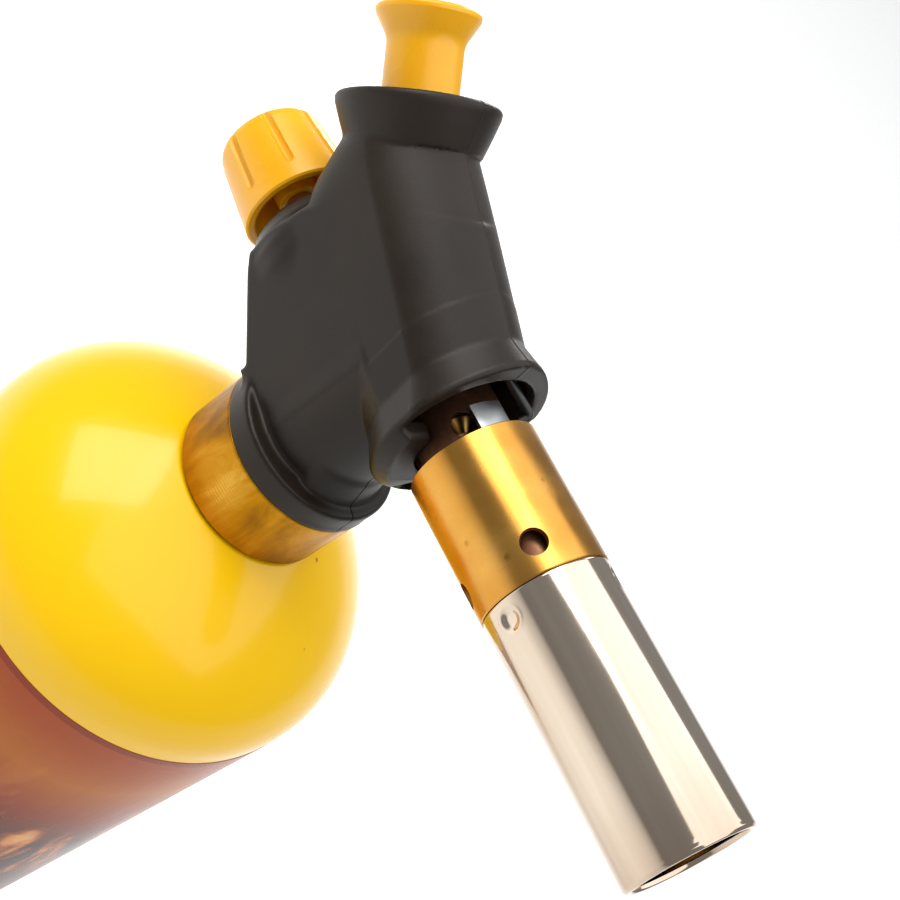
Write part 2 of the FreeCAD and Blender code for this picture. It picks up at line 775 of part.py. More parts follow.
def ground_tab():
    """Bright strip between the mixer tube and the sleeve, turned up in the gap behind the sleeve."""
    inner = size("mixer_radius")
    outer = inner + 1.0
    ring = lathe([(inner, -size("tab_back")), (outer, -size("tab_back")), (outer, size("tab_front")),
                  (inner, size("tab_front"))])
    half = math.radians(size("tab_width") / 2)
    far = 3 * outer
    middle = math.radians(size("tab_angle"))
    fan = [Vector(0, 0, -far)]
    for turn in (middle - half, middle + half):
        fan.append(Vector(-far * math.cos(turn), -far * math.sin(turn), -far))
    wedge = Part.Face(Part.makePolygon(fan + fan[:1])).extrude(Vector(0, 0, 2 * far))
    return ring.common(wedge)


keep("ground_tab", shaped("ground_tab", ground_tab()), burner)


def bent_rod(points, radius, bend):
    """Round rod along straight runs joined by tangent arcs."""
    edges = []
    start = points[0]
    for before, corner, after in zip(points, points[1:], points[2:]):
        back = (before - corner).normalize()
        ahead = (after - corner).normalize()
        half = math.acos(max(-1.0, min(1.0, back.dot(ahead)))) / 2
        reach = bend / math.tan(half)
        enter = corner + back * reach
        leave = corner + ahead * reach
        bisector = (back + ahead).normalize()
        middle = corner + bisector * (bend / math.sin(half) - bend)
        edges.append(Part.LineSegment(start, enter).toShape())
        edges.append(Part.Arc(enter, middle, leave).toShape())
        start = leave
    edges.append(Part.LineSegment(start, points[-1]).toShape())
    path = Part.Wire(edges)
    section = Part.Circle(points[0], points[1] - points[0], radius).toShape()
    return path.makePipeShell([Part.Wire(section)], True, False)


CERAMIC_FRONT = size("holder_front") + 0.5
ceramic = Part.makeCylinder(size("ceramic_radius"), CERAMIC_FRONT + size("ceramic_back"),
                            electrode_spot(-size("ceramic_back")))
ceramic = ceramic.cut(Part.makeCylinder(size("electrode_radius"), CERAMIC_FRONT + size("ceramic_back"),
                                        electrode_spot(-size("ceramic_back"))))
keep("electrode_insulator", shaped("electrode_insulator", ceramic), burner)

POST_STATION = "-intake_station"
post_top = electrode_spot(size(POST_STATION), size("mixer_radius") + 1.2)
electrode_route = [post_top, electrode_spot(size(POST_STATION)), electrode_spot(size("spark_reach")),
                   electrode_spot(size("spark_reach"), size("flame_radius - flame_wall") - 1.2)]
keep("electrode", shaped("electrode", bent_rod(electrode_route, size("electrode_radius"), 1.0)), burner)

# ---------------------------------------------------------------- igniter

BARREL_TOP = "-barrel_top"
CASE_LOW = "-case_depth"
case_body = turned("piezo_case", [
    ("0", CASE_LOW),
    ("case_flange", CASE_LOW),
    ("case_flange", CASE_LOW + " + case_flange_height"),
    ("barrel_radius", CASE_LOW + " + case_flange_height"),
    ("barrel_radius", BARREL_TOP),
    ("barrel_bore", BARREL_TOP),
    ("barrel_bore", CASE_LOW + " + 0.5"),
    ("0", CASE_LOW + " + 0.5"),
])
keep("piezo_case", case_body, button)

CRYSTAL_TOP = CASE_LOW + " + 0.5 + crystal_length"
ANVIL_TOP = CRYSTAL_TOP + " + anvil_height"
HAMMER_LOW = ANVIL_TOP + " + hammer_travel + touch_gap"
HAMMER_TOP = HAMMER_LOW + " + hammer_length"
keep("piezo_crystal", rod("piezo_crystal", "barrel_bore - 0.3", CASE_LOW + " + 0.5", CRYSTAL_TOP), button)
keep("piezo_anvil", rod("piezo_anvil", "barrel_bore", CRYSTAL_TOP, ANVIL_TOP), button)
keep("piezo_hammer", turned("piezo_hammer", [
    ("0", HAMMER_LOW),
    ("barrel_bore - 1.0", HAMMER_LOW),
    ("barrel_bore - running_gap", HAMMER_LOW + " + 0.8"),
    ("barrel_bore - running_gap", HAMMER_TOP),
    ("0", HAMMER_TOP),
]), button)

BUTTON_ROOF = "button_out - 3"
HAMMER_WIRE = 0.3
keep("hammer_spring", shaped("hammer_spring", coil(
    size(HAMMER_TOP), size(BUTTON_ROOF), size("barrel_bore") - 2 * HAMMER_WIRE - 0.2, HAMMER_WIRE, 7)), button)

BUTTON_LOW = "-button_in"
RETURN_WIRE = 0.4
keep("button_spring", shaped("button_spring", coil(
    size(CASE_LOW + " + case_flange_height"), size(BUTTON_LOW), size("barrel_radius") + 2 * RETURN_WIRE + 0.1,
    RETURN_WIRE, 4)), button)

LIP_TOP = BUTTON_LOW + " + lip_height"
keep("button", turned("button", [
    ("button_bore", BUTTON_LOW),
    ("button_radius + button_lip", BUTTON_LOW),
    ("button_radius + button_lip", LIP_TOP),
    ("button_radius", LIP_TOP),
    ("button_radius", "button_out"),
    ("button_radius + (button_head - button_radius) * 0.3", "button_out + (button_top - button_out) * 0.4"),
    ("button_head", "button_out + (button_top - button_out) * 0.8"),
    ("button_head", "button_out + (button_top - button_out) * 0.88"),
    ("button_head * 0.5", "button_out + (button_top - button_out) * 0.98"),
    ("0", "button_top"),
    ("0", BUTTON_ROOF),
    ("button_bore", BUTTON_ROOF),
]), button)

# ---------------------------------------------------------------- igniter lead


def ignition_lead(extra):
    """Short insulated lead from the igniter's end, over the valve block, down to the spark wire's post."""
    case_end = button_here.multVec(Vector(size("case_flange") * 0.45, 0, size(CASE_LOW)))
    inwards = button_here.Rotation.multVec(Vector(0, 0, -1))
    post = burner_here.multVec(post_top)
    out = burner_here.Rotation.multVec(electrode_spot(0, 1.0))
    over = size("block_top")
    points = [case_end, case_end + inwards * 1.4, Vector(-5.5, 0.6, over + 3.0), Vector(1.5, 1.6, over + 3.6),
              Vector(8.0, 3.6, over + 7.0), post + out * 1.9, post]
    return bent_rod(points, size("lead_radius") + extra, 0.7 + extra)


keep("ignition_lead", shaped("ignition_lead", ignition_lead(0.0)), head)

# ---------------------------------------------------------------- body mouldings

half_width = size("body_half_width")
wall = size("body_wall")
crown_slope = -0.1776
COLUMN_TOP = 27.0
FAR = 120.0
CROWN_STEPS = 8
CROWN_POWER = 1.4


def top_line(x):
    """Height of the body's top seam above the skirt's foot."""
    return 44.1 + crown_slope * (x - 1.0)


def crown_bar(inset):
    """Endless bar along the top seam: flat sides under a crown with roof-like shoulders."""
    wide = half_width - inset
    tall = size("crown_height") - inset
    along = Vector(1, 0, crown_slope).normalize()
    across = Vector(-along.z, 0, along.x)
    peak = Vector(0, 0, top_line(0)) - across * inset
    centre = peak - across * tall
    quarter = []
    for step in range(CROWN_STEPS + 1):
        angle = math.pi / 2 * step / CROWN_STEPS
        quarter.append((wide * math.cos(angle) ** CROWN_POWER, tall * math.sin(angle) ** CROWN_POWER))
    outline = quarter + [(-y, rise) for y, rise in reversed(quarter[:-1])]
    curve = Part.BSplineCurve()
    curve.interpolate([centre + Vector(0, y, 0) + across * rise for y, rise in outline])
    arc = curve.toShape()
    ends = [centre + Vector(0, wide, 0), centre - Vector(0, wide, 0)]
    low = [point - across * FAR for point in ends]
    legs = Part.makePolygon([ends[1], low[1], low[0], ends[0]])
    face = Part.Face(Part.Wire(Part.__sortEdges__([arc] + legs.Edges)))
    face.translate(along * -FAR)
    return face.extrude(along * 2 * FAR)


def neck_cone(inset):
    """Cone about the button's axis that narrows the body up to the finger flange, and lets go below it."""
    radius = size("flange_neck") - inset
    grow = math.tan(math.radians(size("neck_flare")))
    top = -size("flange_height")
    turn = -size("waist_depth")
    wide = radius + (top - turn) * grow
    cone = lathe([(0, top / 2), (radius, top / 2), (radius, top), (wide, turn), (wide + 2.0 * FAR, turn - FAR),
                  (0, turn - FAR)])
    cone.Placement = button_here
    return cone


def slab(inset):
    """Flat-sided middle of the body: side outline, crown and neck taken together."""
    rear = -size("rear_wall") + inset
    low = size("skirt_height") - 1.6 + inset
    front_top = lip_plane(top_line(9.0)) - 1.5 - inset
    front_low = lip_plane(26.0) - 1.5 - inset
    outline = [(0, low), (-11.5 + inset, low), (-11.5 + inset, low + 1.5), (-24.0 + inset, 11.0 + inset),
               (rear, 13.0 + inset), (rear, 26.7 - inset), (-40.0 + inset, 34.0), (-40.0 + inset, 60.0),
               (front_top, 60.0), (front_low, 26.0 + inset), (0, 26.0 + inset)]
    wire = Part.makePolygon([Vector(x, 0, z) for x, z in outline + outline[:1]])
    wide = half_width - inset
    prism = Part.Face(wire).extrude(Vector(0, 2 * wide, 0))
    prism.translate(Vector(0, -wide, 0))
    return prism.common(crown_bar(inset)).common(neck_cone(inset))


def lip_plane(z):
    """X of the bell's lip plane at a height above the skirt's foot."""
    centre = burner_here.multVec(Vector(0, 0, size("lip_station")))
    along = burner_here.Rotation.multVec(Vector(0, 0, 1))
    return centre.x - (z - centre.z) * along.z / along.x


def bell():
    """Flared mouth round the burner."""
    lip = size("lip_station")
    bore = size("sleeve_radius + lip_gap")
    outer = bore + size("lip_thickness")
    form = lathe([(0, lip - 16.0), (half_width, lip - 16.0), (half_width, lip - 7.8),
                  (half_width + 0.5, lip - 5.6), (half_width + 1.2, lip - 3.0), (outer, lip - 0.6),
                  (outer - 0.3, lip), (0, lip)])
    form.Placement = burner_here
    return form


def bell_bore():
    """Hollow of the flared mouth, a funnel that closes in on the mixer tube."""
    lip = size("lip_station")
    bore = size("sleeve_radius + lip_gap")
    inner = size("mixer_radius") + 0.1
    form = lathe([(0, lip - 7.2), (inner, lip - 7.2), (inner + 1.0, lip - 7.0), (inner + 2.3, lip - 5.4),
                  (bore - 0.9, lip - 3.0), (bore, lip), (bore, lip + 1.0), (0, lip + 1.0)])
    upper = form.common(Part.makeBox(FAR, FAR, FAR, Vector(-FAR - 1.0, -FAR / 2, lip - FAR / 2)))
    upper.Placement = burner_here
    return upper


def finger_flange():
    radius = size("flange_radius")
    tall = size("flange_height")
    form = lathe([(0, -tall - 1.0), (size("flange_neck"), -tall - 1.0), (radius - 2.0, -tall),
                  (radius - 1.0, -tall * 0.6), (radius, -tall * 0.2), (radius - 0.1, -0.4), (radius - 0.5, 0),
                  (0, 0)])
    form.Placement = button_here
    return form


def knob_boss():
    """Rounded boss at the back, round the valve's gland."""
    radius = size("boss_radius")
    end = -size("boss_sunk")
    form = lathe([(0, end - 12.0), (radius - 0.8, end - 12.0), (radius, end - 7.0), (radius - 0.3, end - 5.0),
                  (radius - 1.1, end - 3.2), (radius - 2.4, end - 1.4), (radius - 3.9, end), (0, end)])
    form.Placement = knob_here
    return form


def skirt_and_column():
    """Round foot over the nut, the upright front above it, and the swept nose between the two."""
    foot = size("nut_radius")
    tall = size("skirt_height")
    disc = lathe([(0, 0), (foot - 0.1, 0), (foot, 0.3), (foot, tall - 1.0), (foot - 0.8, tall), (0, tall)])
    column = Part.makeCylinder(half_width, COLUMN_TOP)
    sweep = lathe([(0, 0), (foot, 0), (foot, 0.6), (foot - 1.3, 2.6), (foot - 2.3, 5.0), (foot - 2.9, 9.0),
                   (0, 9.0)])
    nose = sweep.common(Part.makeCylinder(8.6, 12.0, Vector(9.4, 0, 0)))
    return disc.fuse([column, nose])


SUNK_FACE = half_width - 4.2
SCREW_SPOTS = [(-24.2, 25.6, half_width), (-12.6, 10.6, half_width), (0.0, 38.4, SUNK_FACE),
               (-11.3, 27.3, half_width)]


def screw_bar(x, z, radius, low, high):
    piece = Part.makeCylinder(radius, high - low, Vector(x, low, z), Vector(0, 1, 0))
    return piece


def ribs():
    """Cross-ribs that clamp the valve block, the igniter and the mixer tube, and the screw bosses."""
    wide = 2 * (half_width - wall) + 0.4
    thick = 1.6
    plates = []
    low = Part.makeBox(2 * half_width, wide, thick, Vector(-half_width, -wide / 2, 13.0))
    plates.append(low.cut(Part.makeCylinder(size("block_radius"), 40.0)))
    case = Part.makeBox(40, wide, thick, Vector(-20, -wide / 2, size(CASE_LOW) + 1.4))
    case.Placement = button_here
    plates.append(case.cut(bar(button_here, size("case_flange"), -60.0, 0.0)))
    mixer = Part.makeBox(26, wide, thick, Vector(-13, -wide / 2, -11.6))
    mixer.Placement = burner_here
    plates.append(mixer.cut(bar(burner_here, size("mixer_radius"), -30.0, 0.0)))
    for x, z, face in SCREW_SPOTS:
        reach = min(wide / 2, face)
        plates.append(screw_bar(x, z, size("screw_boss"), -reach, reach))
    return plates


def hollows():
    """Everything that the two halves leave open inside."""
    gap = size("running_gap")
    chamber = size("button_radius + button_lip") + 0.25
    stop = size(LIP_TOP) + size("touch_gap")
    column = Part.makeCylinder(half_width - wall, COLUMN_TOP - size("spigot_height"),
                               Vector(0, 0, size("spigot_height")))
    room = slab(wall).fuse(column)
    room = room.fuse(bell_bore())
    for plate in ribs():
        room = room.cut(plate)
    solid_bars = [
        Part.makeCylinder(size("spigot_radius"), size("spigot_height")),
        Part.makeCylinder(size("block_radius"), size("block_top"), Vector(0, 0, 0)),
        bar(button_here, size("button_radius") + gap, -20.0, 1.0),
        bar(button_here, chamber, size(CASE_LOW) + 4.0, stop),
        bar(button_here, size("case_flange"), size(CASE_LOW), size(CASE_LOW) + 4.0),
        bar(knob_here, size("gland_flats") / math.sqrt(3) + 0.3, -size("boss_sunk") - 12.0, 1.0),
        bar(knob_here, size("arm_radius"), knob_cross, gland_end),
        bar(burner_here, size("mixer_radius"), -size("mixer_back"), 0.0),
        bar(burner_here, size("mixer_radius") + 0.3, size("lip_station") - 7.2, 0.0),
    ]
    for piece in solid_bars:
        room = room.fuse(piece)
    return room.fuse(ignition_lead(size("lead_slack")))


def screw_cutters():
    """Pilot bores, and the sunk seats for the screw heads on the +Y side."""
    tools = []
    for x, z, face in SCREW_SPOTS:
        seat = face - size("screw_head_height")
        tools.append(screw_bar(x, z, size("screw_radius"), -(face - wall), face))
        tools.append(screw_bar(x, z, size("screw_head"), seat, half_width + 1.0))
    return tools


def body_solid():
    solid = slab(0).fuse([skirt_and_column(), bell(), finger_flange(), knob_boss()])
    solid = solid.cut(hollows())
    for tool in screw_cutters():
        solid = solid.cut(tool)
    return solid


whole_body = body_solid()
for node, side in (("shell_right", -1), ("shell_left", 1)):
    near = size("parting_gap") / 2
    half = Part.makeBox(2 * FAR, FAR, 2 * FAR, Vector(-FAR, near if side > 0 else -near - FAR, -FAR))
    keep(node, shaped(node, whole_body.common(half)), head)


def shell_screws():
    """Four self-tapping screws with sunk pan heads."""
    screws = []
    for x, z, face in SCREW_SPOTS:
        seat = face - size("screw_head_height")
        shank = screw_bar(x, z, size("screw_radius"), -(face - wall) + 1.0, seat)
        pan = screw_bar(x, z, size("screw_head"), seat, face - 0.3)
        slot = Part.makeBox(2.6, 1.0, 0.6, Vector(x - 1.3, face - 1.1, z - 0.3))
        cross = Part.makeBox(0.6, 1.0, 2.6, Vector(x - 0.3, face - 1.1, z - 1.3))
        screws.append(shank.fuse(pan).removeSplitter().cut(slot).cut(cross))
    return Part.makeCompound(screws)


keep("shell_screws", shaped("shell_screws", shell_screws()), head)

# ---------------------------------------------------------------- checks and export

doc.recompute()
for item in doc.Objects:
    if "Invalid" in item.State or "Error" in item.State:
        raise RuntimeError("%s could not be built: %s" % (item.Label, item.State))
for node, item in nodes.items():
    if item.Shape.isNull() or not item.Shape.isValid() or not item.Shape.Solids:
        raise RuntimeError("%s has no valid solid" % node)

os.makedirs("parts", exist_ok=True)
for node, item in nodes.items():
    item.Shape.exportStep(os.path.join("parts", node + ".step"))
    box = item.Shape.BoundBox
    print("%-20s %2d solid(s) %10.1f mm3  x %.1f..%.1f  y %.1f..%.1f  z %.1f..%.1f" % (
        node, len(item.Shape.Solids), item.Shape.Volume, box.XMin, box.XMax, box.YMin, box.YMax,
        box.ZMin, box.ZMax))
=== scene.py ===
"""Looks of a hand-held propane torch on its fuel cylinder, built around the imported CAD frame.

Sizes are millimetres in the four local frames that the CAD uses (cylinder, head, burner, knob and
button), and every mesh is written in metres in the row's own frame.
"""
import math

import bmesh
import bpy
import numpy as np
from mathutils import Matrix


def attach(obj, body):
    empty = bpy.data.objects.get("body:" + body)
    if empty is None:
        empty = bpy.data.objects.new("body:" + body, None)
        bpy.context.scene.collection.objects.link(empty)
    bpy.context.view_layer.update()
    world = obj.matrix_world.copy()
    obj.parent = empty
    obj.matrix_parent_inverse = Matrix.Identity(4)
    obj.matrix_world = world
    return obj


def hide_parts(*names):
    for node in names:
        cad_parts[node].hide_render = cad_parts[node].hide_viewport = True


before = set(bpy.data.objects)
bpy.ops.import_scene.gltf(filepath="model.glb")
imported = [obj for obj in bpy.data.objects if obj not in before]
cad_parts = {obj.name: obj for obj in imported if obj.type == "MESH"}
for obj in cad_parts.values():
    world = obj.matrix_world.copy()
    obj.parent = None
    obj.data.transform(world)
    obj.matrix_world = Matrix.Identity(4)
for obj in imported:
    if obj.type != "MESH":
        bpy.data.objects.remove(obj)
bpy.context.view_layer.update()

# ---------------------------------------------------------------- camera
# A plain camera above the near side, rolled so that the flame tube points down to the right.

MM = 0.001
camera = bpy.data.objects.new("camera", bpy.data.cameras.new("camera"))
bpy.context.collection.objects.link(camera)
camera.data.sensor_width = 36.0
camera.data.lens = 58.07
camera.data.clip_start = 0.005
RIGHT = (0.33828935, 0.64516782, 0.68506847)
UP = (-0.89325955, -0.00887574, 0.44945366)
BACK = (0.29605353, -0.76398934, 0.57329974)
STAND = (0.075987, -0.160227, 0.420044)
camera.matrix_world = Matrix([list(row) for row in zip(RIGHT, UP, BACK, STAND)] + [[0, 0, 0, 1]])
bpy.context.scene.camera = camera
bpy.context.scene.view_settings.view_transform = "Standard"

# ---------------------------------------------------------------- floor and studio light
# Pale seamless paper under the torch, one big softbox overhead to the left, a smaller one behind,
# and a weak even surround.


def colour(text):
    """Linear colour of an sRGB hex value: each channel goes through the sRGB curve."""
    parts = np.array([int(text[k:k + 2], 16) for k in (1, 3, 5)]) / 255.0
    linear = np.where(parts <= 0.04045, parts / 12.92, ((parts + 0.055) / 1.055) ** 2.4)
    return (*linear.tolist(), 1.0)


def new_material(name):
    """Empty material with its output node, which the caller fills."""
    material = bpy.data.materials.new(name)
    material.use_nodes = True
    material.node_tree.nodes.clear()
    material.node_tree.nodes.new("ShaderNodeOutputMaterial")
    return material


def add(material, kind, inputs=None, **settings):
    """Adds one node with its settings; each input takes a value or another node's output socket."""
    tree = material.node_tree
    item = tree.nodes.new("ShaderNode" + kind)
    for key, value in settings.items():
        setattr(item, key, value)
    for key, value in (inputs or {}).items():
        if isinstance(value, bpy.types.NodeSocket):
            tree.links.new(value, item.inputs[key])
        else:
            item.inputs[key].default_value = value
    return item


def finish_material(material, shader):
    output = material.node_tree.nodes["Material Output"]
    material.node_tree.links.new(shader.outputs[0], output.inputs["Surface"])
    return material


def ramp(material, factor, stops, mode="LINEAR"):
    """Colour ramp node from (position, hex or grey level) stops."""
    item = add(material, "ValToRGB", {"Fac": factor})
    item.color_ramp.interpolation = mode
    points = item.color_ramp.elements
    while len(points) < len(stops):
        points.new(0.5)
    for point, (place, shade) in zip(points, stops):
        point.position = place
        point.color = colour(shade) if isinstance(shade, str) else (shade, shade, shade, 1.0)
    return item.outputs["Color"]


def object_place(material):
    return add(material, "TexCoord").outputs["Object"]


def mesh_object(name, points, faces, smooth_angle=32.0):
    """Mesh object from vertex and face arrays; faces may be one quad array or a list of arrays."""
    mesh = bpy.data.meshes.new(name)
    blocks = [np.asarray(block) for block in (faces if isinstance(faces, list) else [faces])]
    loops = np.concatenate([block.ravel() for block in blocks]).astype(np.int32)
    sizes = np.concatenate([np.full(len(block), block.shape[1]) for block in blocks]).astype(np.int32)
    starts = np.concatenate([[0], np.cumsum(sizes)[:-1]]).astype(np.int32)
    mesh.vertices.add(len(points))
    mesh.vertices.foreach_set("co", np.asarray(points, np.float32).ravel())
    mesh.loops.add(len(loops))
    mesh.loops.foreach_set("vertex_index", loops)
    mesh.polygons.add(len(sizes))
    mesh.polygons.foreach_set("loop_start", starts)
    mesh.update(calc_edges=True)
    mesh.validate()
    mesh.polygons.foreach_set("use_smooth", np.ones(len(mesh.polygons), bool))
    mesh.set_sharp_from_angle(angle=math.radians(smooth_angle))
    thing = bpy.data.objects.new(name, mesh)
    bpy.context.collection.objects.link(thing)
    return thing


side = np.linspace(-6.0, 6.0, 25)
floor_x, floor_y = np.meshgrid(side, side, indexing="ij")
floor_points = np.stack([floor_x, floor_y, np.full_like(floor_x, -0.0004)], -1).reshape(-1, 3)
corner = (np.arange(24)[:, None] * 25 + np.arange(24)[None, :]).ravel()
floor = mesh_object("floor", floor_points, np.stack([corner, corner + 25, corner + 26, corner + 1], 1))
paper = new_material("seamless_paper")
paper_grain = add(paper, "TexNoise", {"Vector": object_place(paper), "Scale": 900.0, "Detail": 3.0})
paper_shader = add(paper, "BsdfPrincipled", {
    "Base Color": ramp(paper, paper_grain.outputs["Fac"], [(0.3, "#f4f3f0"), (0.7, "#fbfaf8")]),
    "Roughness": 0.9, "Specular IOR Level": 0.2})
floor.data.materials.append(finish_material(paper, paper_shader))


def softbox(name, towards, reach, width, height, power, tint="#ffffff", roll=0.0):
    """Rectangular area light standing off in a direction and facing the torch's head."""
    light = bpy.data.lights.new(name, "AREA")
    light.shape = "RECTANGLE"
    light.size = width
    light.size_y = height
    light.energy = power
    light.color = colour(tint)[:3]
    item = bpy.data.objects.new(name, light)
    bpy.context.collection.objects.link(item)
    out = np.array(towards, float)
    out /= np.linalg.norm(out)
    across = np.cross((0.0, 0.0, 1.0), out)
    across /= np.linalg.norm(across)
    rise = np.cross(out, across)
    turn = math.radians(roll)
    u = math.cos(turn) * across + math.sin(turn) * rise
    v = -math.sin(turn) * across + math.cos(turn) * rise
    place = np.array([0.0, 0.0, 0.28]) + out * reach
    item.matrix_world = Matrix([[*row] for row in zip(u, v, out, place)] + [[0, 0, 0, 1]])
    return item


softbox("key_softbox", (-0.60, -0.34, 0.72), 0.9, 0.62, 0.5, 5.5, "#fffdf8", 20.0)
softbox("ceiling_softbox", (0.12, 0.12, 0.99), 2.6, 5.0, 5.0, 130.0, "#fbfdff", 0.0)
softbox("rear_softbox", (-0.62, 0.76, 0.24), 1.0, 0.24, 0.5, 3.0, "#ffffff", -12.0)
world = bpy.data.worlds.new("surround")
bpy.context.scene.world = world
world.use_nodes = True
world.node_tree.nodes["Background"].inputs["Color"].default_value = colour("#e9ebee")
world.node_tree.nodes["Background"].inputs["Strength"].default_value = 0.38

# ---------------------------------------------------------------- fuel cylinder
# Drawn steel cup with a rounded shoulder, welded over a pressed base, and powder-smooth yellow
# enamel baked on over both.


class Place:
    """Local frame: origin in millimetres, and the world directions of its X, Y and Z."""

    def __init__(self, origin, axis):
        self.origin = np.array(origin, float)
        self.z = np.array(axis, float)
        self.y = np.array([0.0, 1.0, 0.0])
        self.x = np.cross(self.y, self.z)

    def world(self, points):
        """World metres of local points: origin + x X + y Y + z Z."""
        points = np.asarray(points, float)
        turned = points[..., :1] * self.x + points[..., 1:2] * self.y + points[..., 2:3] * self.z
        return (self.origin + turned) * MM

    def local(self, points):
        """Local millimetres of points given in world millimetres."""
        gap = points - self.origin
        return np.stack([gap @ self.x, gap @ self.y, gap @ self.z], -1)


def direction(tilt):
    """Direction in the plane Y = 0, tilt degrees up from +X."""
    return (math.cos(math.radians(tilt)), 0.0, math.sin(math.radians(tilt)))


HEAD_Z = 273.3
tank_place = Place((0, 0, 0), (0, 0, 1))
head_place = Place((0, 0, HEAD_Z), (0, 0, 1))
burner_place = Place((17.15, 0, HEAD_Z + 29.7), direction(8.74))
knob_place = Place((-33.27, 0, HEAD_Z + 16.46), direction(188.07))
button_place = Place((-34.76, 0, HEAD_Z + 43.97), direction(145.33))


def rounded(corners, steps=5):
    """Profile through (radius, height, fillet) corners, each fillet a circular arc tangent to both sides."""
    corners = [np.array((*corner, 0.0)[:3], float) for corner in corners]
    path = []
    for index, (r, s, fillet) in enumerate(corners):
        here = np.array([r, s])
        if fillet == 0 or index in (0, len(corners) - 1):
            path.append(here)
            continue
        back = corners[index - 1][:2] - here
        ahead = corners[index + 1][:2] - here
        reach_limit = 0.49 * min(np.linalg.norm(back), np.linalg.norm(ahead))
        back /= np.linalg.norm(back)
        ahead /= np.linalg.norm(ahead)
        half = math.acos(np.clip(back @ ahead, -1, 1)) / 2
        if half > 1.55:
            path.append(here)
            continue
        fillet = min(fillet, reach_limit * math.tan(half))
        middle = (back + ahead) / np.linalg.norm(back + ahead)
        centre = here + middle * fillet / math.sin(half)
        start = here + back * fillet / math.tan(half) - centre
        end = here + ahead * fillet / math.tan(half) - centre
        for share in np.linspace(0, 1, steps):
            arm = start * (1 - share) + end * share
            path.append(centre + arm / np.linalg.norm(arm) * fillet)
    return np.array(path)


def close_mesh(thing):
    """Merges seam and pole points, and turns a closed shape's faces outwards if its volume is negative."""
    mesh = thing.data
    work = bmesh.new()
    work.from_mesh(mesh)
    bmesh.ops.remove_doubles(work, verts=work.verts, dist=2e-6)
    if work.calc_volume(signed=True) < 0:
        bmesh.ops.reverse_faces(work, faces=work.faces)
    work.to_mesh(mesh)
    work.free()
    return thing


def ring_faces(rows, columns, wrap_rows=False):
    """Quads of a grid whose columns go all the way round."""
    row = np.arange(rows if wrap_rows else rows - 1)[:, None]
    column = np.arange(columns)[None, :]
    after = (column + 1) % columns
    above = (row + 1) % rows
    quads = [row * columns + column, row * columns + after, above * columns + after, above * columns + column]
    return np.stack(np.broadcast_arrays(*quads), -1).reshape(-1, 4)


def lathe(name, profile, place, segments=128, closed=False, change=None, smooth_angle=32.0):
    """Surface of revolution: point = (r cos a, r sin a, s) for each profile point and angle a.

    change, where given, takes the radii, angles and heights as arrays and returns new radii."""
    angles = np.linspace(0, math.tau, segments, endpoint=False)
    profile = np.asarray(profile)
    r, a = np.meshgrid(profile[:, 0], angles, indexing="ij")
    s = np.repeat(profile[:, 1:2], segments, axis=1)
    if change is not None:
        r = change(r, a, s)
    points = np.stack([r * np.cos(a), r * np.sin(a), s], -1)
    faces = ring_faces(len(profile), segments, closed)
    thing = mesh_object(name, place.world(points).reshape(-1, 3), faces, smooth_angle)
    close_mesh(thing)
    thing.data.set_sharp_from_angle(angle=math.radians(smooth_angle))
    return thing


def join_mount(thing, body, slot, material, *nodes):
    """Puts a finished piece on its CAD body, in place of the CAD nodes it stands for. The slot argument is
    not used.
    """
    thing.data.materials.append(material)
    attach(thing, body)
    if nodes:
        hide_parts(*nodes)
    return thing


TANK_R = 38.1
SHOULDER_Z = 236.0
DOME_TOP = 260.3
share = np.linspace(0, 1, 41)[:, None]
dome = ((1 - share) ** 3 * [TANK_R, SHOULDER_Z] + 3 * (1 - share) ** 2 * share * [TANK_R, SHOULDER_Z + 14.14]
        + 3 * (1 - share) * share ** 2 * [15.1, DOME_TOP] + share ** 3 * [14.81, DOME_TOP])
wall = np.stack([np.full(24, TANK_R), np.linspace(9.6, SHOULDER_Z - 1.0, 24)], 1)
cup_profile = np.vstack([[(37.3, 16.0)], [(37.3, 9.3)], [(37.7, 9.1)], wall, dome, [(12.62, DOME_TOP)],
                         [(12.62, DOME_TOP - 0.8)], [(14.4, DOME_TOP - 0.8)],
                         np.flip(dome, 0)[4::4] - [0.78, 0.5], [(37.3, 200.0)]])
cup = lathe("cylinder_cup", cup_profile, tank_place, 192, closed=True)

enamel = new_material("yellow_enamel")
place = object_place(enamel)
cloud = add(enamel, "TexNoise", {"Vector": place, "Scale": 14.0, "Detail": 3.0}).outputs["Fac"]
peel = add(enamel, "TexNoise", {"Vector": place, "Scale": 420.0, "Detail": 2.0}).outputs["Fac"]
dust = add(enamel, "TexVoronoi", {"Vector": place, "Scale": 110.0}, feature="F1").outputs["Distance"]
speck = ramp(enamel, dust, [(0.035, 1.0), (0.055, 0.0)])
paint = ramp(enamel, cloud, [(0.3, "#f5bd00"), (0.7, "#f9c600")])
paint = add(enamel, "Mix", {0: speck, 6: paint, 7: colour("#b98a1c")}, data_type="RGBA").outputs[2]
enamel_shader = add(enamel, "BsdfPrincipled", {
    "Base Color": paint,
    "Roughness": ramp(enamel, cloud, [(0.3, 0.16), (0.7, 0.24)]),
    "IOR": 1.5, "Coat Weight": 0.15, "Coat Roughness": 0.04, "Coat IOR": 1.5, "Specular IOR Level": 0.3,
    "Normal": add(enamel, "Bump", {"Height": peel, "Strength": 0.06, "Distance": 0.0004}).outputs["Normal"]})
finish_material(enamel, enamel_shader)
join_mount(cup, "tank", "yellow_enamel", enamel, "tank_shell")

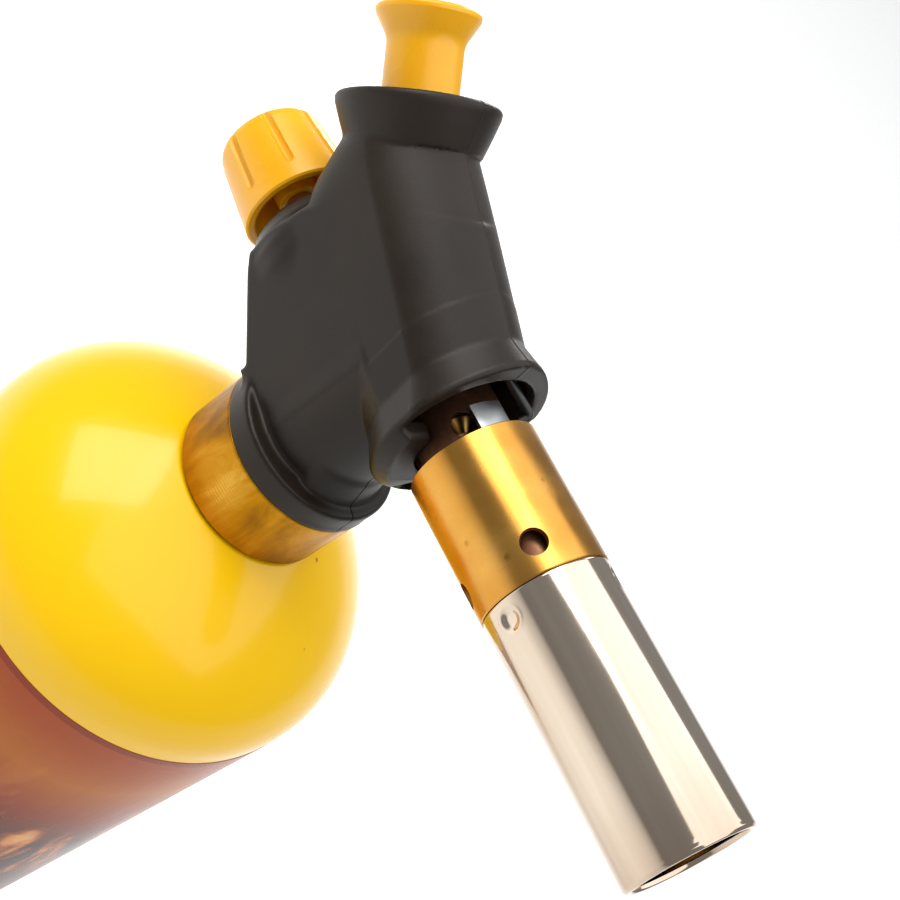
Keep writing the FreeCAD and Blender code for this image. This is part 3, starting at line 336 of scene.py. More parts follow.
base_profile = rounded([(0, 5.2, 0), (22.6, 5.2, 2.5), (28.5, 0.0, 3.2), (34.5, 0.0, 4.0), (37.5, 4.0, 4.0),
                        (38.1, 9.0, 0.3), (37.3, 9.2, 0), (37.3, 16.0, 0), (36.5, 16.0, 0), (36.5, 9.0, 0),
                        (36.1, 4.5, 3.0), (34.1, 1.2, 3.0), (28.9, 1.2, 2.4), (23.0, 6.0, 1.8), (0, 6.0, 0)])
base = lathe("cylinder_base", base_profile, tank_place, 160)
join_mount(base, "tank", "yellow_enamel", enamel, "tank_base")

# Printed sleeve round the straight wall: thin glossy film in warm orange-browns, darker below, with
# a fine border line at its top and one overlapped seam at the back.

LABEL_TOP = 233.4
LABEL_LOW = 26.0
label_profile = rounded([(38.1, LABEL_LOW, 0), (38.17, LABEL_LOW, 0.03), (38.185, LABEL_LOW + 0.3, 0.05),
                         (38.185, LABEL_TOP - 0.3, 0.05), (38.17, LABEL_TOP, 0.03), (38.1, LABEL_TOP, 0)])


def seam(r, a, s):
    """Radius grows by 0.05 mm over the 4 mm where the film overlaps itself, on the far side."""
    over = np.clip(1 - np.abs(np.degrees(a) - 100.0) / 3.0, 0, 1) > 0
    return r + np.where(over & (r > 38.15), 0.04, 0.0)


label = lathe("printed_label", label_profile, tank_place, 360, closed=True, change=seam)
film = new_material("printed_label")
place = object_place(film)
axes = add(film, "SeparateXYZ", {"Vector": place})
height = add(film, "MapRange", {"Value": axes.outputs["Z"], "From Min": 0.026, "From Max": 0.2334}).outputs[0]
sway = add(film, "TexNoise", {"Vector": place, "Scale": 26.0, "Detail": 4.0}).outputs["Fac"]
shift = add(film, "MapRange", {"Value": sway, "To Min": -0.03, "To Max": 0.03}).outputs[0]
level = add(film, "Math", {0: height, 1: shift}, operation="ADD").outputs[0]
ground = ramp(film, level, [(0.0, "#7c2a06"), (0.18, "#b4560a"), (0.42, "#2b1109"), (0.60, "#4a1806"),
                            (0.78, "#33140b"), (0.86, "#8c3604"), (0.93, "#b1600c"), (0.985, "#a3450a")])
tongues = add(film, "TexNoise", {"Vector": add(film, "Mapping", {
    "Vector": place, "Scale": (1.0, 1.0, 0.35)}).outputs[0], "Scale": 70.0, "Detail": 5.0,
    "Distortion": 1.6}).outputs["Fac"]
glow = ramp(film, tongues, [(0.50, 0.0), (0.62, 1.0)])
low_band = ramp(film, height, [(0.40, 1.0), (0.80, 1.0), (0.90, 0.25), (0.96, 0.0)])
glow = add(film, "Math", {0: glow, 1: low_band}, operation="MULTIPLY").outputs[0]
flame_ink = ramp(film, tongues, [(0.5, "#8b2a10"), (0.6, "#c8702c"), (0.7, "#e0a860")])
ink = add(film, "Mix", {0: glow, 6: ground, 7: flame_ink}, data_type="RGBA").outputs[2]
border = ramp(film, height, [(0.0, 1.0), (0.006, 1.0), (0.0061, 0.0), (0.991, 0.0), (0.9915, 1.0)],
              "CONSTANT")
ink = add(film, "Mix", {0: border, 6: ink, 7: colour("#8a2f0c")}, data_type="RGBA").outputs[2]
dots = add(film, "TexVoronoi", {"Vector": place, "Scale": 2600.0}).outputs["Distance"]
film_shader = add(film, "BsdfPrincipled", {
    "Base Color": ink, "Roughness": ramp(film, sway, [(0.3, 0.22), (0.7, 0.32)]), "IOR": 1.5,
    "Coat Weight": 0.05, "Coat Roughness": 0.12, "Specular IOR Level": 0.18,
    "Normal": add(film, "Bump", {"Height": dots, "Strength": 0.05, "Distance": 0.0001}).outputs["Normal"]})
finish_material(film, film_shader)
join_mount(label, "tank", "printed_label", film, "tank_label")

# Neck, valve core and relief valve stay as the CAD has them, in zinc-plated steel and turned brass.

zinc = new_material("zinc_steel")
place = object_place(zinc)
spangle = add(zinc, "TexVoronoi", {"Vector": place, "Scale": 420.0}, feature="SMOOTH_F1").outputs["Color"]
spangle = add(zinc, "RGBToBW", {"Color": spangle}).outputs[0]
zinc_shader = add(zinc, "BsdfPrincipled", {
    "Base Color": ramp(zinc, spangle, [(0.2, "#aeb1b2"), (0.8, "#cdd0d0")]), "Metallic": 1.0,
    "Roughness": ramp(zinc, spangle, [(0.2, 0.26), (0.8, 0.40)]),
    "Normal": add(zinc, "Bump", {"Height": spangle, "Strength": 0.05, "Distance": 0.0001}).outputs["Normal"]})
finish_material(zinc, zinc_shader)

brass = new_material("turned_brass")
place = object_place(brass)
lines = add(brass, "TexWave", {"Vector": place, "Scale": 900.0, "Distortion": 0.6, "Detail": 2.0},
            bands_direction="Z").outputs["Fac"]
tone = add(brass, "TexNoise", {"Vector": place, "Scale": 180.0, "Detail": 4.0}).outputs["Fac"]
brass_shader = add(brass, "BsdfPrincipled", {
    "Base Color": ramp(brass, tone, [(0.3, "#b98c3f"), (0.7, "#dcb468")]), "Metallic": 1.0,
    "Roughness": ramp(brass, tone, [(0.3, 0.26), (0.7, 0.38)]),
    "Normal": add(brass, "Bump", {"Height": lines, "Strength": 0.12, "Distance": 0.00005}).outputs["Normal"]})
finish_material(brass, brass_shader)

black_rubber = new_material("black_rubber")
bloom = add(black_rubber, "TexNoise", {"Vector": object_place(black_rubber), "Scale": 600.0, "Detail": 4.0})
rubber_shader = add(black_rubber, "BsdfPrincipled", {
    "Base Color": ramp(black_rubber, bloom.outputs["Fac"], [(0.35, "#17171a"), (0.7, "#2a2a2b")]),
    "Roughness": 0.62, "IOR": 1.52,
    "Normal": add(black_rubber, "Bump", {"Height": bloom.outputs["Fac"], "Strength": 0.1,
                                         "Distance": 0.0001}).outputs["Normal"]})
finish_material(black_rubber, rubber_shader)

spring_wire = new_material("spring_steel")
draw = add(spring_wire, "TexNoise", {"Vector": object_place(spring_wire), "Scale": 1500.0, "Detail": 3.0})
wire_shader = add(spring_wire, "BsdfPrincipled", {
    "Base Color": ramp(spring_wire, draw.outputs["Fac"], [(0.3, "#84878c"), (0.7, "#a9acb0")]),
    "Metallic": 1.0,
    "Roughness": ramp(spring_wire, draw.outputs["Fac"], [(0.3, 0.28), (0.7, 0.42)])})
finish_material(spring_wire, wire_shader)


def finish_node(material, *names):
    """Gives CAD nodes that already have the right shape their material."""
    for name in names:
        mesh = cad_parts[name].data
        mesh.materials.clear()
        mesh.materials.append(material)


finish_node(zinc, "tank_neck")
finish_node(brass, "core_body", "core_pin", "relief_valve")
finish_node(black_rubber, "core_seal")
finish_node(spring_wire, "core_spring")

# ---------------------------------------------------------------- cylinder nut
# Turned brass nut under the body. It is years old: brown and brighter brass in random patches,
# with streaks that run round it.

NUT_R = 14.8
NUT_H = 12.8
thread_turns = np.arange(6)
groove = np.array([(12.75, 0.0), (13.25, 0.35), (13.25, 0.75), (12.75, 1.1)])
thread = np.vstack([groove + [0, -NUT_H + 1.2 + 1.27 * turn] for turn in thread_turns])
nut_profile = np.vstack([
    rounded([(12.75, -1.0, 0), (7.0, -1.0, 0), (7.0, 3.0, 0.2), (12.3, 3.0, 0.2), (12.3, 0, 0.1),
             (NUT_R - 0.05, 0, 0.25), (NUT_R, -0.5, 0.2), (NUT_R, -3.4, 0), (NUT_R, -6.4, 0),
              (NUT_R, -9.4, 0),
             (NUT_R, -NUT_H + 0.7, 0.3), (NUT_R - 0.5, -NUT_H, 0.25), (13.1, -NUT_H, 0.2)]), thread])
nut = lathe("cylinder_nut", nut_profile, head_place, 160, closed=True)

aged = new_material("aged_brass")
place = object_place(aged)
axes = add(aged, "SeparateXYZ", {"Vector": place})
stretch = add(aged, "Mapping", {"Vector": place, "Scale": (1.0, 1.0, 0.28)}).outputs[0]
patina = add(aged, "TexNoise", {"Vector": stretch, "Scale": 150.0, "Detail": 6.0, "Roughness": 0.62,
                                "Distortion": 0.8}).outputs["Fac"]
stain = add(aged, "TexNoise", {"Vector": place, "Scale": 46.0, "Detail": 3.0}).outputs["Fac"]
turning = add(aged, "TexWave", {"Vector": place, "Scale": 520.0, "Distortion": 0.8, "Detail": 2.0},
              bands_direction="Z").outputs["Fac"]
tone = add(aged, "Math", {0: patina, 1: stain}, operation="ADD").outputs[0]
tone = add(aged, "Math", {0: tone, 1: 0.5}, operation="MULTIPLY").outputs[0]
aged_colour = ramp(aged, tone, [(0.36, "#5a3a08"), (0.45, "#8a5c0c"), (0.53, "#b07a12"), (0.64, "#c99a3a")])
aged_shader = add(aged, "BsdfPrincipled", {
    "Base Color": aged_colour, "Metallic": ramp(aged, tone, [(0.36, 0.75), (0.5, 1.0)]),
    "Roughness": ramp(aged, tone, [(0.36, 0.48), (0.5, 0.34), (0.62, 0.26)]),
    "Normal": add(aged, "Bump", {"Height": turning, "Strength": 0.15, "Distance": 0.00006,
                                 "Normal": add(aged, "Bump", {"Height": patina, "Strength": 0.25,
                                                              "Distance": 0.0002}).outputs["Normal"]
                                 }).outputs["Normal"]})
finish_material(aged, aged_shader)
join_mount(nut, "torch_head", "aged_brass", aged, "collar")

sintered = new_material("sintered_bronze")
grains = add(sintered, "TexVoronoi", {"Vector": object_place(sintered), "Scale": 3200.0}).outputs["Distance"]
sintered_shader = add(sintered, "BsdfPrincipled", {
    "Base Color": ramp(sintered, grains, [(0.2, "#a67c4c"), (0.7, "#5f4126")]),
    "Metallic": 1.0, "Roughness": 0.55,
    "Normal": add(sintered, "Bump", {"Height": grains, "Strength": 0.8, "Distance": 0.0001,
                                     }, invert=True).outputs["Normal"]})
finish_material(sintered, sintered_shader)
finish_node(black_rubber, "inlet_seal", "stem_ring")
finish_node(brass, "inlet_probe", "valve_block", "gland_nut", "valve_stem", "gas_jet", "flame_holder")
finish_node(sintered, "inlet_filter", "jet_filter")

# ---------------------------------------------------------------- body mouldings
# Two glass-filled nylon halves, charcoal grey with a fine spark texture, screwed together along the
# plane Y = 0. Bell, boss, finger flange and skirt grow out of one flat-sided middle.


def blend_in(a, b, width):
    """Smooth minimum: where two fields are within a width of each other, a parabola rounds the meeting."""
    share = np.clip(0.5 + 0.5 * (b - a) / width, 0, 1)
    return b + (a - b) * share - width * share * (1 - share)


def cut_by(a, b, width):
    """Smooth maximum, for an intersection or, with b negated, a cut."""
    return -blend_in(-a, -b, width)


def outline_field(u, v, corners):
    """Signed distance in a plane to a closed outline: nearest edge, negative by the crossing rule."""
    corners = np.asarray(corners, float)
    nearest = np.full(u.shape, 1e9)
    inside = np.zeros(u.shape, bool)
    for (u0, v0), (u1, v1) in zip(corners, np.roll(corners, -1, axis=0)):
        du, dv = u1 - u0, v1 - v0
        length = du * du + dv * dv
        if length < 1e-12:
            continue
        along = np.clip(((u - u0) * du + (v - v0) * dv) / length, 0, 1)
        nearest = np.minimum(nearest, (u - u0 - along * du) ** 2 + (v - v0 - along * dv) ** 2)
        if v0 != v1:
            crosses = ((v0 > v) != (v1 > v)) & (u < u0 + (v - v0) * du / dv)
            inside ^= crosses
    return np.where(inside, -1.0, 1.0) * np.sqrt(nearest)


def turned_field(points, place, corners):
    """Signed distance to a solid of revolution about a frame's Z, from its (radius, height) outline."""
    spot = place.local(points)
    return outline_field(np.hypot(spot[..., 0], spot[..., 1]), spot[..., 2], corners)


HALF_WIDTH = 11.75
LIP = -4.71
BORE = 9.85 + 2.46
LIP_R = BORE + 1.4
LIP_SPREAD = 2.0
FLARE_START = LIP - 5.6
CROWN_POWER = 1.55
CROWN_TALL = 9.5
CROWN_SLOPE = -0.1776
SEAM_HEIGHT = 44.1
NECK_R = 10.4
NECK_FLARE = math.radians(25.0)
NECK_TOP = 5.9
NECK_LENGTH = 11.1
COLUMN_R = 10.9
NOSE_R = 8.6
CHEEK_RISE = 1.8
WALL = 2.0
middle_outline = rounded([(0, 3.0), (-11.5, 3.0), (-11.5, 4.5, 0.8), (-24.0, 11.0, 1.5), (-26.6, 12.8, 0.8),
                          (-26.6, 26.7, 0.8), (-40.0, 34.0), (-40.0, 60.0), (7.8, 60.0), (11.2, 26.0),
                          (0, 26.0)], 4)
flange_outline = rounded([(-5, -7.4), (10.2, -7.4), (10.6, -6.4, 0.3), (11.5, -4.0, 3.0), (12.4, -1.4, 0.8),
                          (12.5, -0.6, 0.35), (12.1, 0.0, 0.4), (11.0, 0.0, 0.6), (8.2, -0.25, 1.0),
                          (-5, -0.25)], 4)
boss_outline = rounded([(-5, -16.5), (10.8, -16.5), (12.35, -11.5, 4.0), (12.4, -8.6, 2.5), (11.7, -6.2, 2.5),
                        (10.2, -4.0, 2.5), (8.3, -2.5, 1.4), (-5, -2.5)], 4)
skirt_outline = rounded([(-5, 0), (14.8, 0, 0.25), (14.8, 4.7, 0.75), (-5, 4.7)], 4)
nose_outline = rounded([(-5, 0), (14.8, 0, 0.3), (14.7, 0.9, 0.8), (13.5, 2.9, 2.0), (12.4, 5.4, 3.0),
                        (11.4, 9.2, 3.0), (9.0, 12.2, 2.0), (-5, 12.2)], 4)
mouth_outline = rounded([(-5, LIP - 16.0), (7.55, LIP - 16.0), (7.55, LIP - 7.2), (8.6, LIP - 7.0, 1.2),
                         (9.8, LIP - 5.4, 2.0), (BORE - 0.9, LIP - 3.0, 2.0), (BORE, LIP - 0.5, 0.6),
                         (BORE + 0.5, LIP + 1.0), (-5, LIP + 1.0)], 4)
nose_centre = 9.4


def body_outside(points):
    """Outer form of the two halves: middle, skirt, nose, column, boss, flange and bell run together.

    The middle is the side outline, the crown and the neck's cone, each cutting the next. The crown's
    section is |y/a|^p + |rise/b|^p = 1, flatter in the shoulders than an ellipse. The bell is that section
    moved outwards, more the nearer it is to the lip."""
    x, y, z = points[..., 0], np.abs(points[..., 1]), points[..., 2] - HEAD_Z
    norm = math.hypot(1.0, CROWN_SLOPE)
    deep = (SEAM_HEIGHT + CROWN_SLOPE * (x - 1.0) - z) / norm
    rise = np.maximum(CROWN_TALL - deep, 0.0)
    level = (y / HALF_WIDTH) ** CROWN_POWER + (rise / CROWN_TALL) ** CROWN_POWER - 1
    across = (y / HALF_WIDTH) ** (CROWN_POWER - 1) / HALF_WIDTH
    upward = (rise / CROWN_TALL) ** (CROWN_POWER - 1) / CROWN_TALL
    steep = CROWN_POWER * np.hypot(across, upward) + 1e-6
    crown = np.where(rise > 0, level / steep, y - HALF_WIDTH)
    stem = button_place.local(points)
    radius = np.hypot(stem[..., 0], stem[..., 1])
    below = np.maximum(-NECK_TOP - stem[..., 2], 0.0)
    cone = (radius - NECK_R - below * math.tan(NECK_FLARE)) * math.cos(NECK_FLARE)
    cone = cone - 1.5 * np.maximum(below - NECK_LENGTH, 0.0)
    middle = cut_by(cut_by(crown, cone, 2.4), outline_field(x, z, middle_outline), 0.6)
    middle = cut_by(middle, stem[..., 2] + 4.0, 0.3)
    column = (np.sqrt((x / COLUMN_R) ** 2 + (y / HALF_WIDTH) ** 2) - 1) * 11.0
    column = cut_by(np.maximum(column, -z), z - 27.0, 0.5)
    whole = blend_in(middle, column, 0.6)
    whole = blend_in(whole, turned_field(points, head_place, skirt_outline), 1.0)
    sector = np.hypot(x - nose_centre, y * 0.98) - NOSE_R
    nose = cut_by(turned_field(points, head_place, nose_outline), sector, 1.6)
    whole = blend_in(whole, nose, 0.5)
    whole = blend_in(whole, turned_field(points, knob_place, boss_outline), 0.6)
    burn = burner_place.local(points)
    away = np.hypot(burn[..., 0], burn[..., 1])
    spread = LIP_SPREAD * np.clip((burn[..., 2] - FLARE_START) / (LIP - 0.7 - FLARE_START), 0.0, 1.0)
    cheek = CHEEK_RISE * np.clip((LIP_R - away) / CHEEK_RISE, 0.0, 1.0)
    front = LIP + cheek * np.clip(burn[..., 0] + 1.5, 0.0, 1.0)
    flare = cut_by(np.where(burn[..., 0] < 0.0, crown, away - HALF_WIDTH) - spread, burn[..., 2] - front, 0.3)
    flare = np.maximum(flare, FLARE_START - 6.0 - burn[..., 2])
    whole = blend_in(whole, np.maximum(flare, away - LIP_R - 6.0), 0.3)
    return blend_in(whole, turned_field(points, button_place, flange_outline), 0.4)


SUNK_FACE = HALF_WIDTH - 4.2
SCREWS = [(-24.2, 25.6, HALF_WIDTH), (-12.6, 10.6, HALF_WIDTH), (0.0, 38.4, SUNK_FACE),
          (-11.3, 27.3, HALF_WIDTH)]
SCREW_HEAD = 2.1
HEAD_DEPTH = 1.6
SHAFT_ROOM = 5.96
LIP_ROOM = 7.1
GLAND_ROOM = 5.65
SPIGOT_ROOM = 12.32
MIXER_ROOM = 7.75


def body_field(points, screws):
    """Hollow body: the outer form less an even inner offset, the bell's mouth and the round bores."""
    outside = body_outside(points)
    flat = np.stack([points[..., 0], points[..., 1], points[..., 2] - HEAD_Z], -1)
    stem = button_place.local(points)
    arm = knob_place.local(points)
    spot = np.hypot(flat[..., 0], flat[..., 1])
    shaft = np.hypot(stem[..., 0], stem[..., 1])
    burn = burner_place.local(points)
    mouth = cut_by(turned_field(points, burner_place, mouth_outline), burn[..., 0] + 1.0, 0.6)
    pipe = np.maximum(np.hypot(burn[..., 0], burn[..., 1]) - MIXER_ROOM, LIP - 9.0 - burn[..., 2])
    room = np.minimum(np.minimum(outside + WALL, mouth), pipe)
    room = np.minimum(room, np.maximum(spot - SPIGOT_ROOM, flat[..., 2] - 3.02))
    room = np.minimum(room, np.maximum(shaft - SHAFT_ROOM, -stem[..., 2] - 20.0))
    room = np.minimum(room, np.maximum(shaft - LIP_ROOM, np.abs(stem[..., 2] + 16.0) - 6.4))
    room = np.minimum(room, np.maximum(np.hypot(arm[..., 0], arm[..., 1]) - GLAND_ROOM, -arm[..., 2] - 12.0))
    if screws:
        post = np.full(outside.shape, 1e9)
        hole = np.full(outside.shape, 1e9)
        for x, z, face in SCREWS:
            away = np.hypot(flat[..., 0] - x, flat[..., 2] - z)
            post = np.minimum(post, np.maximum(away - 3.0, face - 4.2 - flat[..., 1]))
            hole = np.minimum(hole, np.maximum(away - SCREW_HEAD - 0.05, face - HEAD_DEPTH - flat[..., 1]))
            hole = np.minimum(hole, away - 1.2)
        room = np.maximum(room, -post)
        return cut_by(cut_by(outside, -room, 0.35), -hole, 0.2)
    return cut_by(outside, -room, 0.35)


def net(field, low, high, step):
    """Quads round a field's zero level: in each grid cell that it crosses, one point at the mean of the
    crossings on the cell's edges; each crossed edge joins its four cells. The points are then moved
    down the field's gradient onto the zero level. Far from the surface the field is only read on a grid
    four times coarser."""
    coarse = 4
    axes = [a + step * np.arange(coarse * math.ceil((b - a) / step / coarse)) for a, b in zip(low, high)]
    points = np.stack(np.meshgrid(*axes, indexing="ij"), -1)
    value = field(points[1::coarse, 1::coarse, 1::coarse])
    for axis in range(3):
        value = np.repeat(value, coarse, axis=axis)
    near = np.abs(value) < 1.9 * coarse * step
    value[near] = field(points[near])
    inside = value < 0
    shape = np.array(value.shape)
    total = np.zeros((*(shape - 1), 3))
    count = np.zeros(shape - 1)
    crossings = []
    for axis in range(3):
        first = [slice(None)] * 3
        second = [slice(None)] * 3
        first[axis] = slice(0, -1)
        second[axis] = slice(1, None)
        first, second = tuple(first), tuple(second)
        crossed = inside[first] != inside[second]
        where = np.argwhere(crossed)
        a = value[first][crossed]
        b = value[second][crossed]
        spot = points[first][crossed].copy()
        spot[:, axis] += step * a / (a - b)
        others = [k for k in range(3) if k != axis]
        cells = []
        for back_0, back_1 in ((0, 0), (1, 0), (1, 1), (0, 1)):
            cell = where.copy()
            cell[:, others[0]] -= back_0
            cell[:, others[1]] -= back_1
            good = np.all((cell >= 0) & (cell < shape - 1), axis=1)
            np.add.at(total, tuple(cell[good].T), spot[good])
            np.add.at(count, tuple(cell[good].T), 1)
            cells.append(np.where(good[:, None], cell, -1))
        cells = np.stack(cells, 1)
        flip = (a < 0) == (axis == 1)
        cells[flip] = cells[flip][:, ::-1]
        crossings.append(cells[np.all(cells >= 0, axis=(1, 2))])
    used = count > 0
    name = np.full(shape - 1, -1)
    name[used] = np.arange(used.sum())
    spots = total[used] / count[used][:, None]
    quads = np.concatenate(crossings)
    quads = name[quads[..., 0], quads[..., 1], quads[..., 2]]
    nudge = 0.02
    for turn in range(3):
        here = field(spots)
        slope = np.stack([(field(spots + nudge * way) - field(spots - nudge * way)) / (2 * nudge)
                          for way in np.eye(3)], -1)
        steep = np.maximum((slope ** 2).sum(-1), 0.2)
        spots = spots - np.clip(here / steep, -0.15, 0.15)[:, None] * slope
    return spots, quads


PARTING = 0.02
BODY_STEP = 0.36


def body_half(name, screws, mirror):
    """One moulding: the net of the body's field on one side, cut flat and capped at the parting plane,
    with its outer edge raised by a hair along the seam and eased back where the seam gapes."""
    spots, quads = net(lambda p: body_field(p, screws),
                       (-43.0, -0.8, HEAD_Z - 0.8), (16.0, 15.6, HEAD_Z + 56.5),
                       BODY_STEP)
    mesh = bpy.data.meshes.new(name)
    thing = bpy.data.objects.new(name, mesh)
    bpy.context.collection.objects.link(thing)
    work = bmesh.new()
    raw = bpy.data.meshes.new("raw")
    raw.from_pydata(spots.tolist(), [], quads.tolist())
    work.from_mesh(raw)
    bpy.data.meshes.remove(raw)
    for level in (0.32, 0.14):
        bmesh.ops.bisect_plane(work, geom=work.verts[:] + work.edges[:] + work.faces[:], dist=1e-5,
                               plane_co=(0, level, 0), plane_no=(0, 1, 0))
    bmesh.ops.bisect_plane(work, geom=work.verts[:] + work.edges[:] + work.faces[:], dist=1e-5,
                           plane_co=(0, PARTING, 0), plane_no=(0, 1, 0), clear_inner=True)
    bmesh.ops.remove_doubles(work, verts=work.verts, dist=0.01)
    rim = [edge for edge in work.edges if edge.is_boundary]
    bmesh.ops.triangle_fill(work, edges=rim, use_beauty=True, normal=(0, -1, 0))
    bmesh.ops.recalc_face_normals(work, faces=work.faces)
    if work.calc_volume(signed=True) < 0:
        bmesh.ops.reverse_faces(work, faces=work.faces)
    work.to_mesh(mesh)
    work.free()
    points = np.empty(len(mesh.vertices) * 3)
    mesh.vertices.foreach_get("co", points)
    points = points.reshape(-1, 3)
    near = points[:, 1] < 0.2
    outer = near & (body_outside(points) > -0.1)
    slope = np.stack([(body_outside(points + 0.02 * way) - body_outside(points - 0.02 * way)) / 0.04
                      for way in np.eye(3)], -1)
    slope[:, 1] = 0
    slope /= np.maximum(np.linalg.norm(slope, axis=1, keepdims=True), 1e-6)
    low_front = np.clip((14.0 - (points[:, 2] - HEAD_Z)) / 3.0, 0, 1)
    low_front = low_front * np.clip((points[:, 0] - 4.0) / 3.0, 0, 1)
    ridge = np.where(outer, 0.07, 0.0) * (1 - low_front)
    points += ridge[:, None] * slope
    points[:, 1] += np.where(points[:, 1] < 0.05, 0.11 * low_front, 0.0)
    if mirror:
        points[:, 1] *= -1
        mesh.flip_normals()
    mesh.vertices.foreach_set("co", (points * MM).ravel())
    mesh.polygons.foreach_set("use_smooth", np.ones(len(mesh.polygons), bool))
    mesh.set_sharp_from_angle(angle=math.radians(40.0))
    mesh.update()
    return thing


nylon = new_material("charcoal_nylon")
place = object_place(nylon)
spark = add(nylon, "TexNoise", {"Vector": place, "Scale": 2300.0, "Detail": 2.0}).outputs["Fac"]
mottle = add(nylon, "TexNoise", {"Vector": place, "Scale": 95.0, "Detail": 5.0,
                                 "Roughness": 0.6}).outputs["Fac"]
wipe = add(nylon, "TexNoise", {"Vector": place, "Scale": 24.0, "Detail": 2.0}).outputs["Fac"]
body_tone = add(nylon, "Math", {0: mottle, 1: wipe}, operation="ADD").outputs[0]
body_tone = add(nylon, "Math", {0: body_tone, 1: 0.5}, operation="MULTIPLY").outputs[0]
nylon_shader = add(nylon, "BsdfPrincipled", {
    "Base Color": ramp(nylon, body_tone, [(0.38, "#1f1812"), (0.62, "#29211a")]),
    "Roughness": ramp(nylon, body_tone, [(0.38, 0.36), (0.62, 0.46)]),
    "IOR": 1.53, "Specular IOR Level": 0.22,
    "Normal": add(nylon, "Bump", {"Height": spark, "Strength": 0.16, "Distance": 0.00008}).outputs["Normal"]})
finish_material(nylon, nylon_shader)

for moulding, node, screws, mirror in (("body_half_near", "shell_right", False, True),
                                       ("body_half_far", "shell_left", True, False)):
    join_mount(body_half(moulding, screws, mirror), "torch_head", "charcoal_plastic", nylon, node)
finish_node(zinc, "shell_screws")

# ---------------------------------------------------------------- igniter button
# Glossy yellow acetal: a plain round shaft, a flared head, and a low dome that the thumb rests on.

button_profile = rounded([
    (4.25, -11.0), (6.79, -11.0, 0.2), (6.79, -9.6, 0.3), (5.84, -9.6, 0.2), (5.84, 8.7, 3.5),
    (7.9, 12.3, 0.6),
    (7.97, 13.0, 0.45), (7.4, 13.4, 0.6), (4.0, 13.8, 8.0), (0, 13.9)], 8)
button_inside = np.array([(0, 4.9), (4.25, 4.9)])
thumb = lathe("igniter_button", np.vstack([button_profile, button_inside]), button_place, 128, closed=True)
acetal = new_material("yellow_acetal")
place = object_place(acetal)
haze = add(acetal, "TexNoise", {"Vector": place, "Scale": 90.0, "Detail": 4.0}).outputs["Fac"]
skin = add(acetal, "TexNoise", {"Vector": place, "Scale": 1500.0, "Detail": 2.0}).outputs["Fac"]
acetal_shader = add(acetal, "BsdfPrincipled", {
    "Base Color": ramp(acetal, haze, [(0.3, "#efaa00"), (0.7, "#f4b300")]),
    "Roughness": ramp(acetal, haze, [(0.3, 0.26), (0.7, 0.36)]), "IOR": 1.48,
    "Subsurface Weight": 0.12, "Subsurface Radius": (1.0, 0.45, 0.05), "Subsurface Scale": 0.0012,
    "Normal": add(acetal, "Bump", {"Height": skin, "Strength": 0.06, "Distance": 0.0001}).outputs["Normal"]})
finish_material(acetal, acetal_shader)
join_mount(thumb, "button", "yellow_plastic", acetal, "button")

# ---------------------------------------------------------------- valve knob
# The same yellow in a tapered cup with narrow round-ended grip flutes, pressed on the stem's shaft
# and held by a sunk screw at its back.

KNOB_L = 14.9
MOUTH_R = 10.0
END_R = 8.5
FLUTES = 8
FLUTE_R = 0.78
FLUTE_START = 0.27 * KNOB_L


def fluted(r, a, s):
    """Each flute is a groove of circular section, r less sqrt(w^2 - t^2) at t mm from its middle line,
    that ends in a quarter ball near the mouth and runs out through the back edge."""
    rim = MOUTH_R + (END_R - MOUTH_R) * np.clip(s, 0, KNOB_L) / KNOB_L
    outer = r > rim - 1.9
    turn = (a * FLUTES / math.tau + 0.5) % 1.0 - 0.5
    aside = turn * math.tau / FLUTES * rim
    before = np.maximum(FLUTE_START - s, 0.0)
    deep = np.sqrt(np.maximum(FLUTE_R ** 2 - aside ** 2 - before ** 2, 0.0))
    limit = rim + 0.1 - deep * 1.05
    return np.where(outer & (deep > 0) & (s > 0.5), np.minimum(r, limit), r)


knob_lines = [np.array([(MOUTH_R - 1.6, 0.25), (MOUTH_R - 1.3, 0.0), (MOUTH_R - 0.35, 0.0),
                        (MOUTH_R - 0.05, 0.3)])]
heights = np.linspace(0.6, KNOB_L - 1.5, 52)
knob_lines.append(np.stack([MOUTH_R + (END_R - MOUTH_R) * heights / KNOB_L, heights], 1))
bend = np.radians(np.linspace(8, 90, 9))
knob_lines.append(np.stack([END_R + 0.05 - 1.4 + 1.4 * np.cos(bend), KNOB_L - 1.4 + 1.4 * np.sin(bend)], 1))
knob_lines.append(rounded([(6.4, KNOB_L), (2.75, KNOB_L, 0.25), (2.6, KNOB_L - 1.8, 0.1),
                           (1.25, KNOB_L - 1.8), (1.25, KNOB_L - 3.0), (2.2, KNOB_L - 3.0), (2.2, 2.3),
                           (2.5, 2.2, 0.1), (3.4, 2.2, 0.2),
                           (3.7, KNOB_L - 3.2, 0.3), (6.7, KNOB_L - 3.0, 0.5), (8.2, 0.9, 0.3)]))
dial = lathe("valve_knob_cap", np.vstack(knob_lines), knob_place, 448, closed=True, change=fluted)
join_mount(dial, "knob", "yellow_plastic", acetal, "valve_knob")
finish_node(zinc, "knob_screw")

# ---------------------------------------------------------------- burner sleeve
# Drawn and polished brass sleeve with four air holes, a little dulled by handling.

SLEEVE_R = 9.85
SLEEVE_BORE = 8.85
SLEEVE_L = 22.35
AIR_R = 2.0
AIR_STATION = 18.0
AIR_ANGLE = 44.8


def burner_angle(degrees):
    """Angle about local Z for degrees counted from the top of the burner towards -Y."""
    return math.pi + math.radians(degrees)


